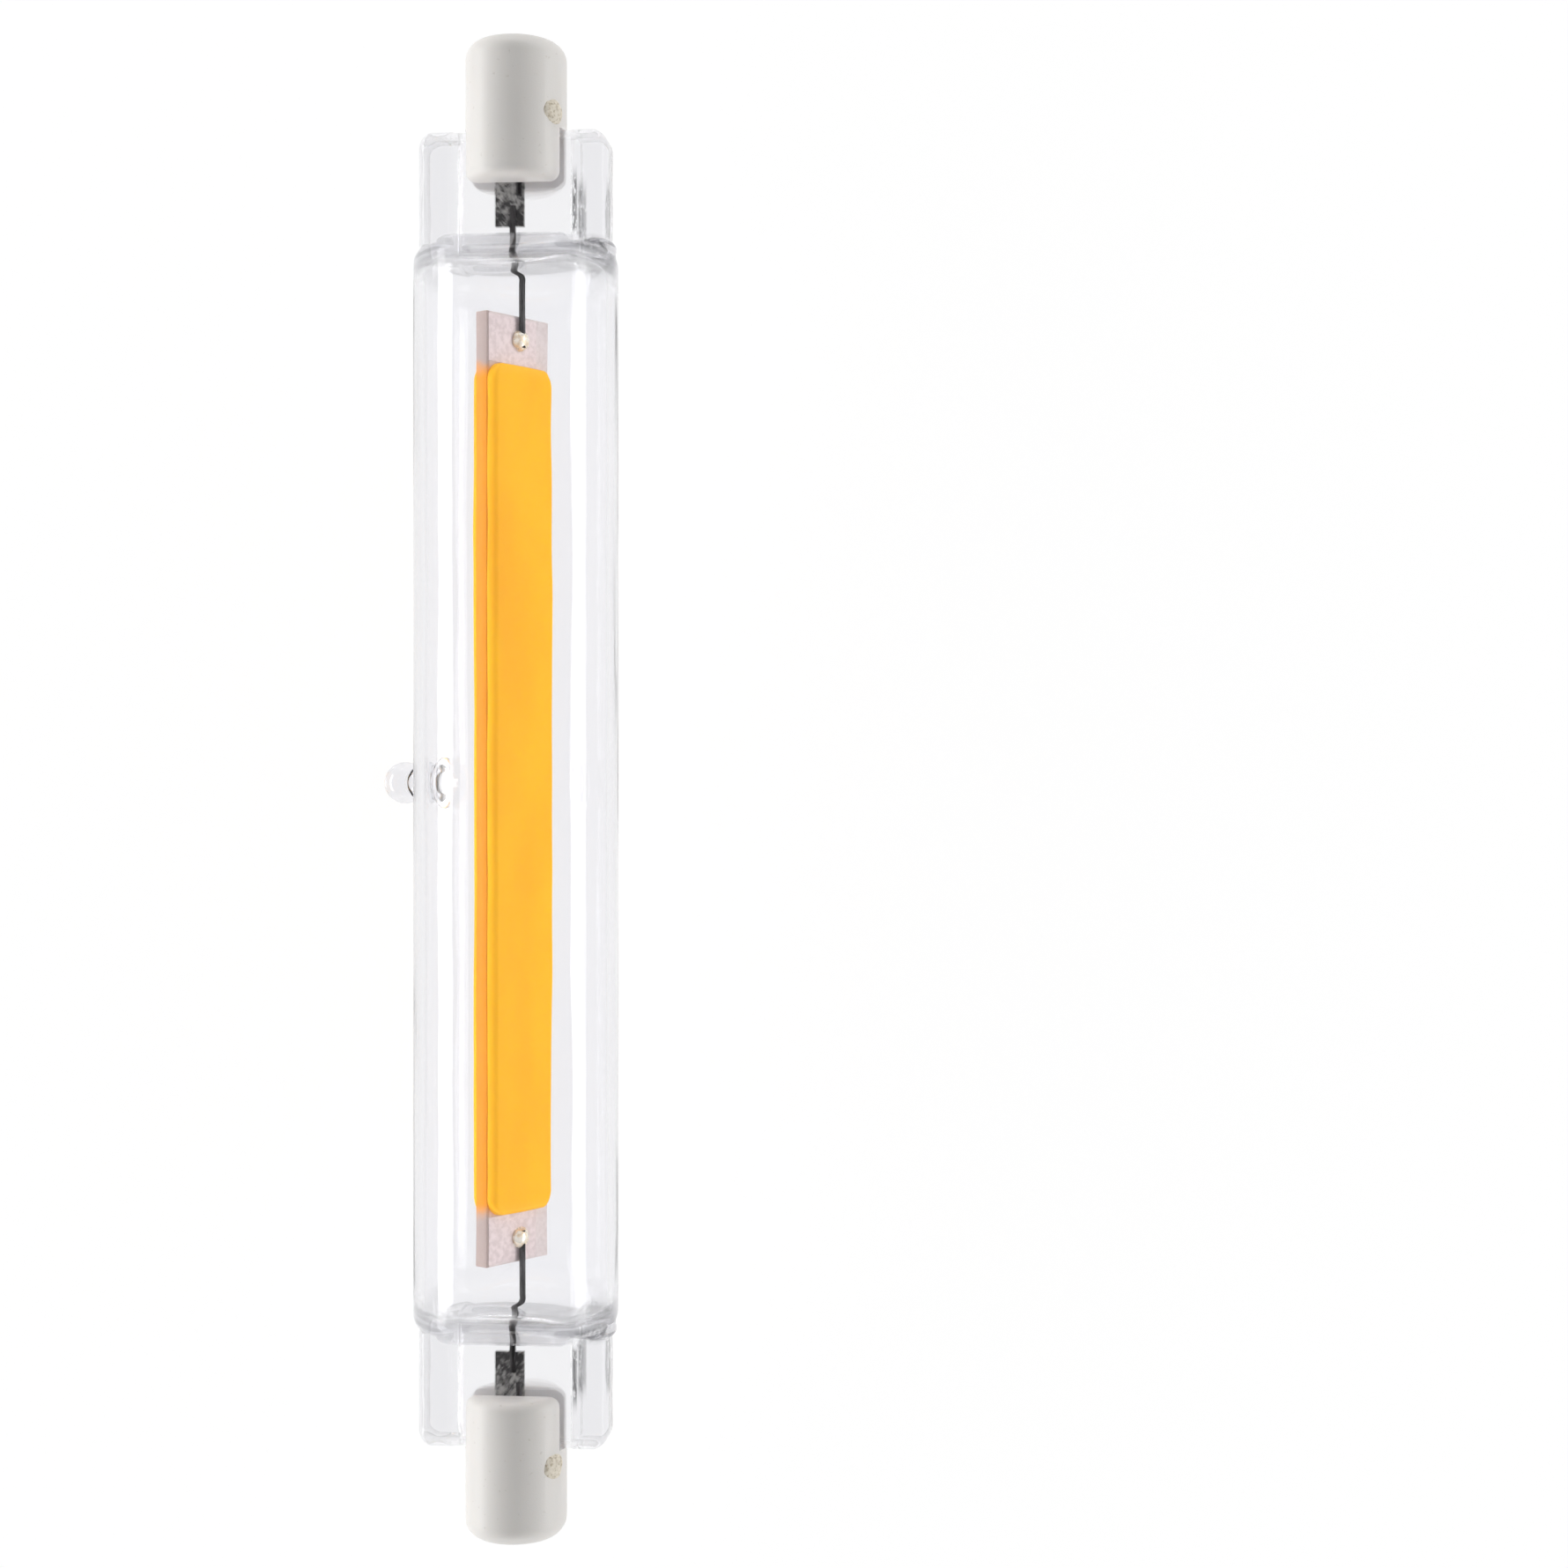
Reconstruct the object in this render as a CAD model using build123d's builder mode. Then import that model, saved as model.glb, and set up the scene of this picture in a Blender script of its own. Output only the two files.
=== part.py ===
from build123d import *
from math import asin, cos, radians, sin, sqrt
import os

# A double-ended linear LED lamp in a clear glass tube, in millimetres. It lies along Y with its
# axis through the origin, +Z up, and rests on the tube and on the exhaust tip beside it. The
# pieces of the upper end, at +Y, are mirrored to the lower end.

# Lamp length, over the two ceramic caps, and how much of it each end takes beyond the tube
lamp_length = 118.0
end_length = 16.0
contact_depth = 1.9

# Glass tube
tube_diameter = 16.2
tube_wall = 0.9
shoulder_round = 1.8
shoulder_steps = 3
end_wall = 1.3
end_crown = 0.5
press_slope = 4.2
press_steps = 5
press_spare = 0.3

# Pressed seals at the ends of the tube
seal_turn = 5.0
seal_length = 8.7
seal_width = 15.1
web_thickness = 2.7
rib_width = 2.7
rib_thickness = 4.5
rib_round = 1.1
web_fillet = 0.35
crease_tolerance = 0.01
seal_corner = 1.2
rib_end_round = 1.0
bulge_centre = 6.5
bulge_radius = 1.75
bulge_height = 1.7
bulge_corner = 0.5

# Exhaust tip at mid-length
tip_offset = 0.5
tip_reach = 13.4
tip_end_radius = 1.7
tip_neck_radius = 1.4
tip_root_radius = 2.3
tip_flare_share = 0.57
tip_bore_radius = 0.9
tip_bore_depth = 0.6

# Foils and leads in the seals
foil_width = 2.35
foil_thickness = 0.1
foil_gap = 1.5
foil_length = 5.6
foil_across = -0.5
lead_diameter = 0.5
inner_weld_length = 1.6
outer_weld_length = 3.2
inner_lead_across = -0.2
inner_lead_jog = 1.4
outer_lead_across = 0.3
glass_clearance = 0.02

# LED substrate
board_turn = 51.5
board_shift = -0.3
board_gap = 5.7
board_width = 6.8
board_thickness = 1.2

# Terminal pads, tracks and solder on the substrate
pad_thickness = 0.05
pad_margin = 0.2
pad_bare_strip = 1.4
track_width = 0.3
solder_inset = 1.9
solder_radius = 0.9
solder_top_radius = 0.45
solder_height = 0.65
solder_film = 0.05
lead_landing = -0.12
lead_overlap = 0.6

# Phosphor beads
bead_gap = 3.9
bead_width = 6.7
bead_corner = 1.9
front_bead_height = 0.95
rear_bead_height = 0.75
bead_crown = 0.2
bead_shoulder = 0.3

# Dies under the beads
die_length = 1.0
die_width = 0.5
die_height = 0.12
die_pitch = 3.3
die_row_spacing = 2.2
driver_length = 2.4
driver_width = 1.6
driver_height = 0.25
rectifier_length = 1.8

# Ceramic caps
cap_diameter = 8.0
cap_length = 11.3
cap_end_round = 1.5
cap_end_steps = 3
cap_rim_chamfer = 0.7
slot_clearance = 0.1
slot_headroom = 0.25
recess_radius = 1.85
chamber_radius = 1.45
hole_inset = 6.0
hole_radius = 0.95
hole_turn = 54.5

# Contacts and cement
contact_length = 2.4
fit_clearance = 0.05
plug_proud = 0.2
plug_chamfer = 0.3

# Places worked out from the sizes
tube_radius = tube_diameter / 2
cavity_radius = tube_radius - tube_wall
cap_end = lamp_length / 2
cap_start = cap_end - cap_length
tube_end = cap_end - end_length
cavity_end = tube_end - end_wall
seal_root = cavity_end - shoulder_round
seal_end = tube_end + seal_length
foil_start = tube_end + foil_gap
foil_end = foil_start + foil_length
board_end = tube_end - board_gap
bead_end = board_end - bead_gap
solder_place = board_end - solder_inset
slot_floor = seal_end + slot_headroom
hole_place = cap_end - hole_inset
contact_face = cap_end - contact_depth
contact_root = contact_face - contact_length

# The tip's ball touches the surface that the tube lies on
tip_centre = tip_reach - tip_end_radius
tip_turn = asin((tube_radius - tip_end_radius) / tip_centre)

# Directions across the seals, the substrate, the tip and the caps' side holes
lamp_axis = Vector(0, 1, 0)
seal_across = Vector(cos(radians(seal_turn)), 0, sin(radians(seal_turn)))
seal_front = Vector(-sin(radians(seal_turn)), 0, cos(radians(seal_turn)))
board_across = Vector(-cos(radians(board_turn)), 0, sin(radians(board_turn)))
board_front = Vector(sin(radians(board_turn)), 0, cos(radians(board_turn)))
board_centre = Vector(board_shift, 0, 0)
tip_out = Vector(-cos(tip_turn), 0, -sin(tip_turn))
hole_out = Vector(sin(radians(hole_turn)), 0, cos(radians(hole_turn)))


def seal_point(across, front, along):
    """A point placed from the middle of a seal's section."""
    return seal_across * across + seal_front * front + lamp_axis * along


def board_point(across, front, along):
    """A point placed from the substrate's front face."""
    above = board_front * (board_thickness / 2 + front)
    return board_centre + board_across * across + above + lamp_axis * along


def seal_section(along):
    """Plane across the lamp, square to its axis, with X across the seal."""
    return Plane(origin=lamp_axis * along, x_dir=seal_across, z_dir=lamp_axis)


def board_face(side):
    """Plane on the substrate's front face (side 1) or rear face (side -1)."""
    origin = board_centre + board_front * (side * board_thickness / 2)
    return Plane(origin=origin, x_dir=lamp_axis, z_dir=board_front * side)


def quarter_round(radius, end, corner, steps):
    """Points of a turned profile's outer corner, rounded in short straight steps."""
    turns = [radians(90 * i / steps) for i in range(steps + 1)]
    centre = Vector(radius - corner, end - corner)
    return [centre + Vector(cos(turn), sin(turn)) * corner for turn in turns]


def closed_tube(radius, rim, crown, corner, steps):
    """Profile of a tube closed by crowned ends, with rounded shoulders."""
    with BuildSketch(Plane.XY) as profile:
        with BuildLine():
            wall = Polyline((radius, 0), *quarter_round(radius, rim, corner, steps), (0, rim + crown))
            mirror(about=Plane.XZ)
            Line(wall @ 1, (0, -rim - crown))
        make_face()
    return profile.sketch


def pressed_slab(height, foot, end, slope):
    """Slab across the seals whose ends slope in to the foot height, as the press leaves the tube."""
    turns = [radians(90 * i / press_steps) for i in range(press_steps + 1)]
    rise = height + press_spare - foot
    quarter = [(end - slope + slope * sin(turn), foot + rise * cos(turn)) for turn in turns]
    half = quarter + [(along, -front) for along, front in reversed(quarter)]
    with BuildPart() as slab:
        with BuildSketch(Plane(origin=(0, 0, 0), x_dir=lamp_axis, z_dir=lamp_axis.cross(seal_front))):
            with BuildLine():
                Polyline(*half, *[(-along, front) for along, front in reversed(half)], close=True)
            make_face()
        extrude(amount=tube_diameter, both=True)
    return slab.part


def wire(points, diameter):
    """Round wire along straight runs."""
    with BuildPart() as run:
        with BuildLine() as route:
            Polyline(*points)
        with BuildSketch(Plane(origin=route.line @ 0, z_dir=route.line % 0)):
            Circle(diameter / 2)
        sweep(path=route.line, transition=Transition.RIGHT)
    return run.part


def foil_strip(spare):
    """The sealing foil, or the room it takes in the glass, larger all round by the spare."""
    with BuildPart() as strip:
        with BuildSketch(seal_section(foil_start - spare)):
            with Locations((foil_across, 0)):
                Rectangle(foil_width + 2 * spare, foil_thickness + 2 * spare)
        extrude(amount=foil_length + 2 * spare)
    return strip.part


def phosphor_bead(side, height, buried):
    """Crowned bead of phosphor gel on one face of the substrate, cast over what is buried in it."""
    face = board_face(side)
    section = Plane(origin=face.origin, x_dir=board_across, z_dir=lamp_axis * side)
    with BuildPart() as bead:
        with BuildSketch(face):
            RectangleRounded(2 * bead_end, bead_width, bead_corner)
        extrude(amount=height)
        with BuildSketch(section):
            with BuildLine():
                rim = (bead_width / 2, height - bead_crown)
                crown = ThreePointArc(rim, (0, height), (-rim[0], rim[1]))
                Polyline(crown @ 1, (-rim[0], 0), (rim[0], 0), crown @ 0)
            make_face()
        extrude(amount=bead_end, both=True, mode=Mode.INTERSECT)
        top = bead.edges().filter_by(lambda edge: face.to_local_coords(edge.center()).Z > bead_shoulder)
        chamfer(top, length=bead_shoulder)
        for piece in buried:
            add(piece, mode=Mode.SUBTRACT)
    return bead.part


def block_row(side, size, height, places):
    """Rectangular blocks on one face of the substrate, each centred on one of the places."""
    with BuildPart() as row:
        with BuildSketch(board_face(side)):
            with Locations(places):
                Rectangle(*size)
        extrude(amount=height)
    return row.part


def die_places(count):
    """Centres of two rows of dies, spaced evenly from the first at the lower end of the bead."""
    lines = (-die_row_spacing / 2, die_row_spacing / 2)
    return [(first_die + i * die_pitch, line) for i in range(count) for line in lines]


def opposite_end(piece):
    """The same piece at the lamp's other end."""
    with BuildPart() as twin:
        mirror(piece, about=Plane.XZ)
    return twin.part


def save(piece, name):
    """Label a finished piece and write its STEP file."""
    piece.label = name
    export_step(piece, f"parts/{name}.step")


# Foil, and the two leads welded on its front
with BuildPart() as foil:
    add(foil_strip(0))

lead_front = (foil_thickness + lead_diameter) / 2
landing_front = pad_thickness + solder_film + lead_diameter / 2
inner_lead_route = [
    seal_point(inner_lead_across, lead_front, foil_start + inner_weld_length),
    seal_point(inner_lead_across, lead_front, cavity_end - lead_diameter / 2),
    board_point(lead_landing, landing_front, cavity_end - inner_lead_jog),
    board_point(lead_landing, landing_front, solder_place - lead_overlap),
]
with BuildPart() as inner_lead:
    add(wire(inner_lead_route, lead_diameter))

outer_lead_route = [
    seal_point(outer_lead_across, lead_front, foil_end - outer_weld_length),
    seal_point(outer_lead_across, lead_front, contact_root),
]
with BuildPart() as outer_lead:
    add(wire(outer_lead_route, lead_diameter))

lead_room = lead_diameter + 2 * glass_clearance

# Pressed seal: a web between two ribs, with rounded outer corners
rib_centre = (seal_width - rib_width) / 2
with BuildPart() as pressed_seal:
    with BuildSketch(seal_section(seal_root)) as section:
        Rectangle(seal_width - rib_width, web_thickness)
        with Locations((-rib_centre, 0), (rib_centre, 0)):
            RectangleRounded(rib_width, rib_thickness, rib_round)
        height_off_web = lambda corner: abs(abs(corner.Y) - web_thickness / 2)
        creases = section.vertices().filter_by(lambda corner: height_off_web(corner) < crease_tolerance)
        fillet(creases, radius=web_fillet)
    extrude(amount=seal_end - seal_root)
    for breadth, sideways, corner in (
        (seal_width, seal_across, seal_corner),
        (rib_thickness, seal_front, rib_end_round),
    ):
        face = Plane(origin=(0, 0, 0), x_dir=sideways, z_dir=sideways.cross(lamp_axis))
        with BuildSketch(face) as outline:
            with Locations((0, (seal_root + seal_end) / 2)):
                Rectangle(breadth, seal_end - seal_root)
            fillet(outline.vertices().group_by(Axis.Y)[-1], radius=corner)
        extrude(amount=seal_width, both=True, mode=Mode.INTERSECT)

# Lump of glass that the press squeezed out beside one rib
bulge_plane = Plane(
    origin=seal_point(bulge_centre, 0, tube_end - bulge_height / 2), x_dir=seal_across, z_dir=seal_front
)
with BuildPart() as shoulder_bulge:
    with BuildSketch(bulge_plane) as half:
        with Locations((bulge_radius / 2, 0)):
            Rectangle(bulge_radius, bulge_height)
        chamfer(half.vertices().group_by(Axis.X)[-1], length=bulge_corner)
    revolve(axis=Axis(bulge_plane.origin, lamp_axis))

# Exhaust tip: a flared root, a neck and a ball melted shut, drilled by the rest of its bore
tip_plane = Plane(origin=lamp_axis * tip_offset, x_dir=lamp_axis, z_dir=lamp_axis.cross(tip_out))
tip_axis = Axis(tip_plane.origin, tip_out)
ball_start = tip_centre - sqrt(tip_end_radius**2 - tip_neck_radius**2)
tip_neck = tube_radius + tip_flare_share * (ball_start - tube_radius)
with BuildPart() as exhaust_tip:
    with BuildSketch(tip_plane):
        with BuildLine():
            ball = ThreePointArc((tip_neck_radius, ball_start), (tip_end_radius, tip_centre), (0, tip_reach))
            Polyline(
                ball @ 0,
                (tip_neck_radius, tip_neck),
                (tip_root_radius, tube_radius - tube_wall / 2),
                (tip_root_radius, cavity_radius),
                (0, cavity_radius),
                ball @ 1,
            )
        make_face()
    revolve(axis=tip_axis)

with BuildPart() as tip_bore:
    bore_start = cavity_radius - tip_bore_radius
    with BuildSketch(Plane(origin=tip_plane.origin + tip_out * bore_start, z_dir=tip_out)):
        Circle(tip_bore_radius)
    extrude(amount=tip_neck + tip_bore_depth - bore_start)

# Hollow of the tube, flattened towards the seals as its outside is
with BuildPart() as hollow:
    revolve(closed_tube(cavity_radius, cavity_end, 0, shoulder_round - tube_wall, 1), axis=Axis.Y)
    hollow_end = cavity_end + press_spare
    add(pressed_slab(cavity_radius, 0, hollow_end, press_slope - tube_wall), mode=Mode.INTERSECT)

# Glass envelope: tube, seals, bulges and tip as one piece, hollowed and fused round the foils
# and leads
with BuildPart() as glass_envelope:
    revolve(closed_tube(tube_radius, tube_end, end_crown, shoulder_round, shoulder_steps), axis=Axis.Y)
    slab_end = tube_end + end_crown
    add(pressed_slab(tube_radius, web_thickness / 2, slab_end, press_slope), mode=Mode.INTERSECT)
    for seal_piece in (pressed_seal.part, shoulder_bulge.part):
        add(seal_piece)
        add(opposite_end(seal_piece))
    add(exhaust_tip.part)
    add(hollow.part, mode=Mode.SUBTRACT)
    add(tip_bore.part, mode=Mode.SUBTRACT)
    rooms = [foil_strip(glass_clearance)]
    rooms += [wire(route, lead_room) for route in (inner_lead_route, outer_lead_route)]
    for room in rooms:
        add(room, mode=Mode.SUBTRACT)
        add(opposite_end(room), mode=Mode.SUBTRACT)

# Substrate
with BuildPart() as led_substrate:
    with BuildSketch(board_face(1)):
        Rectangle(2 * board_end, board_width)
    extrude(amount=-board_thickness)

# Dies, driver chips and tracks: as many dies as fit, fewer in front, where the driver chips lie
first_die = die_length + bead_corner - bead_end
rear_die_count = int(-2 * first_die / die_pitch) + 1
rectifier_place = bead_end - bead_corner - rectifier_length / 2
driver_place = rectifier_place - rectifier_length / 2 - die_width - driver_length / 2
front_room = driver_place - driver_length / 2 - die_length - first_die
front_die_count = int(front_room / die_pitch) + 1
die_size = (die_length, die_width)
front_dies = block_row(1, die_size, die_height, die_places(front_die_count))
rear_dies = block_row(-1, die_size, die_height, die_places(rear_die_count))

driver_places = [(driver_place, line) for line in (-die_row_spacing / 2, die_row_spacing / 2)]
driver_dies = block_row(1, (driver_length, driver_width), driver_height, driver_places)
rectifier = block_row(1, (rectifier_length, 2 * driver_width), driver_height, [(rectifier_place, 0)])

track_line = bead_width / 2 - bead_shoulder - track_width
track_length = 2 * (bead_end - bead_corner)
with BuildPart() as conductor_tracks:
    for side in (1, -1):
        with BuildSketch(board_face(side)):
            with Locations((0, -track_line), (0, track_line)):
                Rectangle(track_length, track_width)
        extrude(amount=pad_thickness)

# Phosphor beads over them
front_buried = (front_dies, driver_dies, rectifier, conductor_tracks.part)
rear_buried = (rear_dies, conductor_tracks.part)
phosphor_front = phosphor_bead(1, front_bead_height, front_buried)
phosphor_rear = phosphor_bead(-1, rear_bead_height, rear_buried)

# Terminal pad, from the end of the bead to the end of the substrate
pad_low = pad_bare_strip - board_width / 2
pad_high = board_width / 2 - pad_margin
pad_length = board_end - pad_margin - bead_end
with BuildPart() as terminal_pad:
    with BuildSketch(board_face(1)):
        with Locations((bead_end + pad_length / 2, (pad_low + pad_high) / 2)):
            Rectangle(pad_length, pad_high - pad_low)
    extrude(amount=pad_thickness)

# Solder joint: a dome on the pad round the end of the inner lead
solder_axis = Axis(board_point(lead_landing, pad_thickness, solder_place), board_front)
with BuildPart() as solder_joint:
    with BuildSketch(Plane(origin=solder_axis.position, x_dir=lamp_axis, z_dir=-board_across)):
        with BuildLine():
            Polyline(
                (0, 0),
                (solder_radius, 0),
                (solder_top_radius, solder_height),
                (0, solder_height),
                close=True,
            )
        make_face()
    revolve(axis=solder_axis)
    add(inner_lead.part, mode=Mode.SUBTRACT)

# Contact: a plug at the bottom of the recess, that the outer lead is welded to
with BuildPart() as contact:
    with BuildSketch(seal_section(contact_root)):
        Circle(chamber_radius - fit_clearance)
    extrude(amount=contact_length)

# Ceramic cap: slotted over the seal, bored for the cement and the contact, with a filling hole
hole_plane = Plane(origin=lamp_axis * hole_place, x_dir=lamp_axis, z_dir=hole_out)
with BuildPart() as ceramic_cap:
    with BuildSketch(Plane.XY):
        with BuildLine():
            Polyline(
                (0, cap_start),
                (cap_diameter / 2 - cap_rim_chamfer, cap_start),
                (cap_diameter / 2, cap_start + cap_rim_chamfer),
                *quarter_round(cap_diameter / 2, cap_end, cap_end_round, cap_end_steps),
                (0, cap_end),
                close=True,
            )
        make_face()
    revolve(axis=Axis.Y)
    with BuildSketch(seal_section(cap_start)):
        Rectangle(cap_diameter, web_thickness + 2 * slot_clearance)
    extrude(amount=slot_floor - cap_start, mode=Mode.SUBTRACT)
    for bore, low, high in (
        (chamber_radius, slot_floor, contact_face),
        (recess_radius, contact_face, cap_end),
    ):
        with BuildSketch(seal_section(low)):
            Circle(bore)
        extrude(amount=high - low, mode=Mode.SUBTRACT)
    with BuildSketch(hole_plane):
        Circle(hole_radius)
    extrude(amount=cap_diameter, mode=Mode.SUBTRACT)

# Cement: it fills the chamber behind the contact and the side hole
with BuildPart() as cement:
    with BuildSketch(seal_section(seal_end)):
        Circle(chamber_radius - fit_clearance)
    extrude(amount=contact_root - seal_end)
    with BuildSketch(hole_plane):
        Circle(hole_radius - fit_clearance)
    extrude(amount=cap_diameter / 2 + plug_proud)
    chamfer(cement.faces().sort_by(Axis((0, 0, 0), hole_out))[-1].edges(), length=plug_chamfer)
    add(outer_lead.part, mode=Mode.SUBTRACT)

# STEP files, one for each piece
os.makedirs("parts", exist_ok=True)
for name, piece in (
    ("glass_envelope", glass_envelope.part),
    ("led_substrate", led_substrate.part),
    ("phosphor_front", phosphor_front),
    ("phosphor_rear", phosphor_rear),
    ("led_dies_front", front_dies),
    ("led_dies_rear", rear_dies),
    ("current_driver_dies", driver_dies),
    ("rectifier_bridge", rectifier),
    ("conductor_tracks", conductor_tracks.part),
):
    save(piece, name)

for name, piece in (
    ("terminal_pad", terminal_pad.part),
    ("solder_joint", solder_joint.part),
    ("inner_lead", inner_lead.part),
    ("foil", foil.part),
    ("outer_lead", outer_lead.part),
    ("cement", cement.part),
    ("contact", contact.part),
    ("ceramic_cap", ceramic_cap.part),
):
    save(piece, f"upper_{name}")
    save(opposite_end(piece), f"lower_{name}")
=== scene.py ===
"""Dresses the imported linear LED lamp: clear glass, white caps, phosphor strip, leads and light."""

import logging
from dataclasses import dataclass
from enum import Enum
from functools import cached_property
from math import asin, atan2, cos, degrees, pi, radians, sin, sqrt
from typing import Sequence, TypeAlias

import bmesh
import bpy
from mathutils import Matrix, Vector, noise


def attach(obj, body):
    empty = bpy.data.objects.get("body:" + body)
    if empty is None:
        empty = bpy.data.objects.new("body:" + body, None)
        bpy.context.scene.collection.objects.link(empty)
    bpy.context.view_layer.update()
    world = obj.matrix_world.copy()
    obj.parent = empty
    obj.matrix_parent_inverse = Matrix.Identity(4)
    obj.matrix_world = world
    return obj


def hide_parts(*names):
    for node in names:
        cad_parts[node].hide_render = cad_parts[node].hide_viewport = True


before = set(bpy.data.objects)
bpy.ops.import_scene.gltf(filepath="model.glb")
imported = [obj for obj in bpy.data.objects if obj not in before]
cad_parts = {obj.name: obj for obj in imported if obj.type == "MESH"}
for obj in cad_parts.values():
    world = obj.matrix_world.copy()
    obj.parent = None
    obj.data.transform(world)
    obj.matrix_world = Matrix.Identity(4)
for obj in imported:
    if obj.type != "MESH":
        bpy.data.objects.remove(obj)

MM = 0.001
log = logging.getLogger("lamp")

Value: TypeAlias = "Socket | float | Sequence[float]"
Triple: TypeAlias = tuple[float, float, float]


class Side(Enum):
    """The two ends of the lamp, which mirror each other."""

    UPPER = 1
    LOWER = -1

    @property
    def prefix(self) -> str:
        """The start of the names of this end's pieces."""
        return self.name.lower()


# Shader maths


class Socket:
    """A shader output, with arithmetic that adds Math nodes to its tree."""

    def __init__(self, tree: "Tree", output: bpy.types.NodeSocket) -> None:
        """Keep a tree and the output of one of its nodes."""
        self.tree = tree
        self.output = output

    def _math(self, operation: str, *values: Value) -> "Socket":
        """Add a Math node of the given operation over the values."""
        settings = {"operation": operation}
        return self.tree.node("ShaderNodeMath", settings, dict(enumerate(values)))

    def __add__(self, other: Value) -> "Socket":
        """This plus the other."""
        return self._math("ADD", self, other)

    __radd__ = __add__

    def __mul__(self, other: Value) -> "Socket":
        """This times the other."""
        return self._math("MULTIPLY", self, other)

    __rmul__ = __mul__

    def __sub__(self, other: Value) -> "Socket":
        """This less the other."""
        return self._math("SUBTRACT", self, other)

    def __rsub__(self, other: Value) -> "Socket":
        """The other less this."""
        return self._math("SUBTRACT", other, self)

    def __truediv__(self, other: Value) -> "Socket":
        """This over the other."""
        return self._math("DIVIDE", self, other)

    def __pow__(self, other: Value) -> "Socket":
        """This to the power of the other."""
        return self._math("POWER", self, other)

    def __abs__(self) -> "Socket":
        """This without its sign."""
        return self._math("ABSOLUTE", self)

    def larger(self, other: Value) -> "Socket":
        """The larger of the two."""
        return self._math("MAXIMUM", self, other)

    def step(self, low: float, high: float) -> "Socket":
        """A smooth step, from 0 at the low value to 1 at the high one."""
        settings = {"interpolation_type": "SMOOTHSTEP"}
        return self.tree.node("ShaderNodeMapRange", settings, {"Value": self, 1: low, 2: high})


class Tree:
    """A node tree that is being filled."""

    def __init__(self, tree: bpy.types.NodeTree) -> None:
        """Empty the node tree of a material or a world."""
        self.tree = tree
        tree.nodes.clear()

    def node(
        self,
        kind: str,
        settings: dict[str, object] | None = None,
        values: dict[str | int, Value] | None = None,
        output: str | int = 0,
    ) -> Socket:
        """Add one node, the only way in which this script adds any.

        Args:
            kind: the node's type.
            settings: its properties; "stops" gives a colour ramp's stops.
            values: numbers, colours or sockets for its inputs.
            output: the output that is wanted.

        Returns:
            The wrapped output.
        """
        added = self.tree.nodes.new(kind)
        for name, setting in (settings or {}).items():
            if name == "stops":
                self._set_stops(added.color_ramp, setting)
            else:
                setattr(added, name, setting)
        for name, value in (values or {}).items():
            if isinstance(value, Socket):
                self.tree.links.new(value.output, added.inputs[name])
            else:
                added.inputs[name].default_value = value
        return Socket(self, added.outputs[output] if added.outputs else None)

    @staticmethod
    def _set_stops(
        ramp: bpy.types.ColorRamp, stops: Sequence[tuple[float, Sequence[float]]]
    ) -> None:
        """Give a colour ramp its stops."""
        while len(ramp.elements) < len(stops):
            ramp.elements.new(0.5)
        for element, (place, colour) in zip(ramp.elements, stops):
            element.position = place
            element.color = (*colour, 1.0)

    def object_place(self) -> Socket:
        """Object coordinates, in metres in the lamp's frame."""
        return self.node("ShaderNodeTexCoord", output="Object")

    def along(self) -> Socket:
        """The distance from mid-length along the lamp, in metres."""
        return abs(self.node("ShaderNodeSeparateXYZ", values={0: self.object_place()}, output="Y"))

    def reach(self, direction: Triple) -> Socket:
        """The distance from the lamp's axis in a direction, in metres."""
        values = {0: self.object_place(), 1: direction}
        return self.node("ShaderNodeVectorMath", {"operation": "DOT_PRODUCT"}, values, output=1)

    def grain(
        self, scale: float, detail: float = 2.0, stretch: float = 1.0, rough: float = 0.5
    ) -> Socket:
        """Noise over the surface.

        Args:
            scale: waves a metre.
            detail: octaves.
            stretch: how much longer the pattern is along the lamp.
            rough: how strong the fine octaves are.

        Returns:
            The noise, about 0.5.
        """
        place = self.node(
            "ShaderNodeMapping",
            values={"Vector": self.object_place(), "Scale": (scale, scale / stretch, scale)},
        )
        values = {"Vector": place, "Scale": 1.0, "Detail": detail, "Roughness": rough}
        return self.node("ShaderNodeTexNoise", values=values)

    def blend(self, share: Value, first: Value, second: Value) -> Socket:
        """Mix two colours, by the share of the second."""
        values = {"Factor": share, 6: _rgba(first), 7: _rgba(second)}
        return self.node("ShaderNodeMix", {"data_type": "RGBA"}, values, output=2)

    def bump(self, height: Socket, depth: float, strength: float = 1.0) -> Socket:
        """The normal bumped by a height from 0 to 1, which is so many metres deep."""
        values = {"Height": height, "Distance": depth, "Strength": strength}
        return self.node("ShaderNodeBump", values=values, output="Normal")


def _rgba(colour: Value) -> Value:
    """A colour with its alpha, or the socket that it is."""
    return colour if isinstance(colour, Socket) else (*colour, 1.0)


def srgb(red: int, green: int, blue: int) -> Triple:
    """A colour as a screen shows it, from 0 to 255, made linear."""
    return tuple(((level / 255 + 0.055) / 1.055) ** 2.4 for level in (red, green, blue))


# Finishes


@dataclass(frozen=True)
class Finish:
    """What every finish has: a name, a colour and the record's slot."""

    name: str
    slot: str
    colour: Triple

    def dress(self, tree: Tree) -> Socket:
        """Fill the tree and return its shader."""
        raise NotImplementedError

    def fill(self, tree: Tree) -> dict[str, Socket]:
        """What is inside the material, for its output's volume."""
        return {}

    @cached_property
    def material(self) -> bpy.types.Material:
        """The material, made when it is first asked for."""
        material = bpy.data.materials.new(self.name)
        material.use_nodes = True
        tree = Tree(material.node_tree)
        sockets = {"Surface": self.dress(tree), **self.fill(tree)}
        tree.node("ShaderNodeOutputMaterial", values=sockets)
        return material


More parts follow.
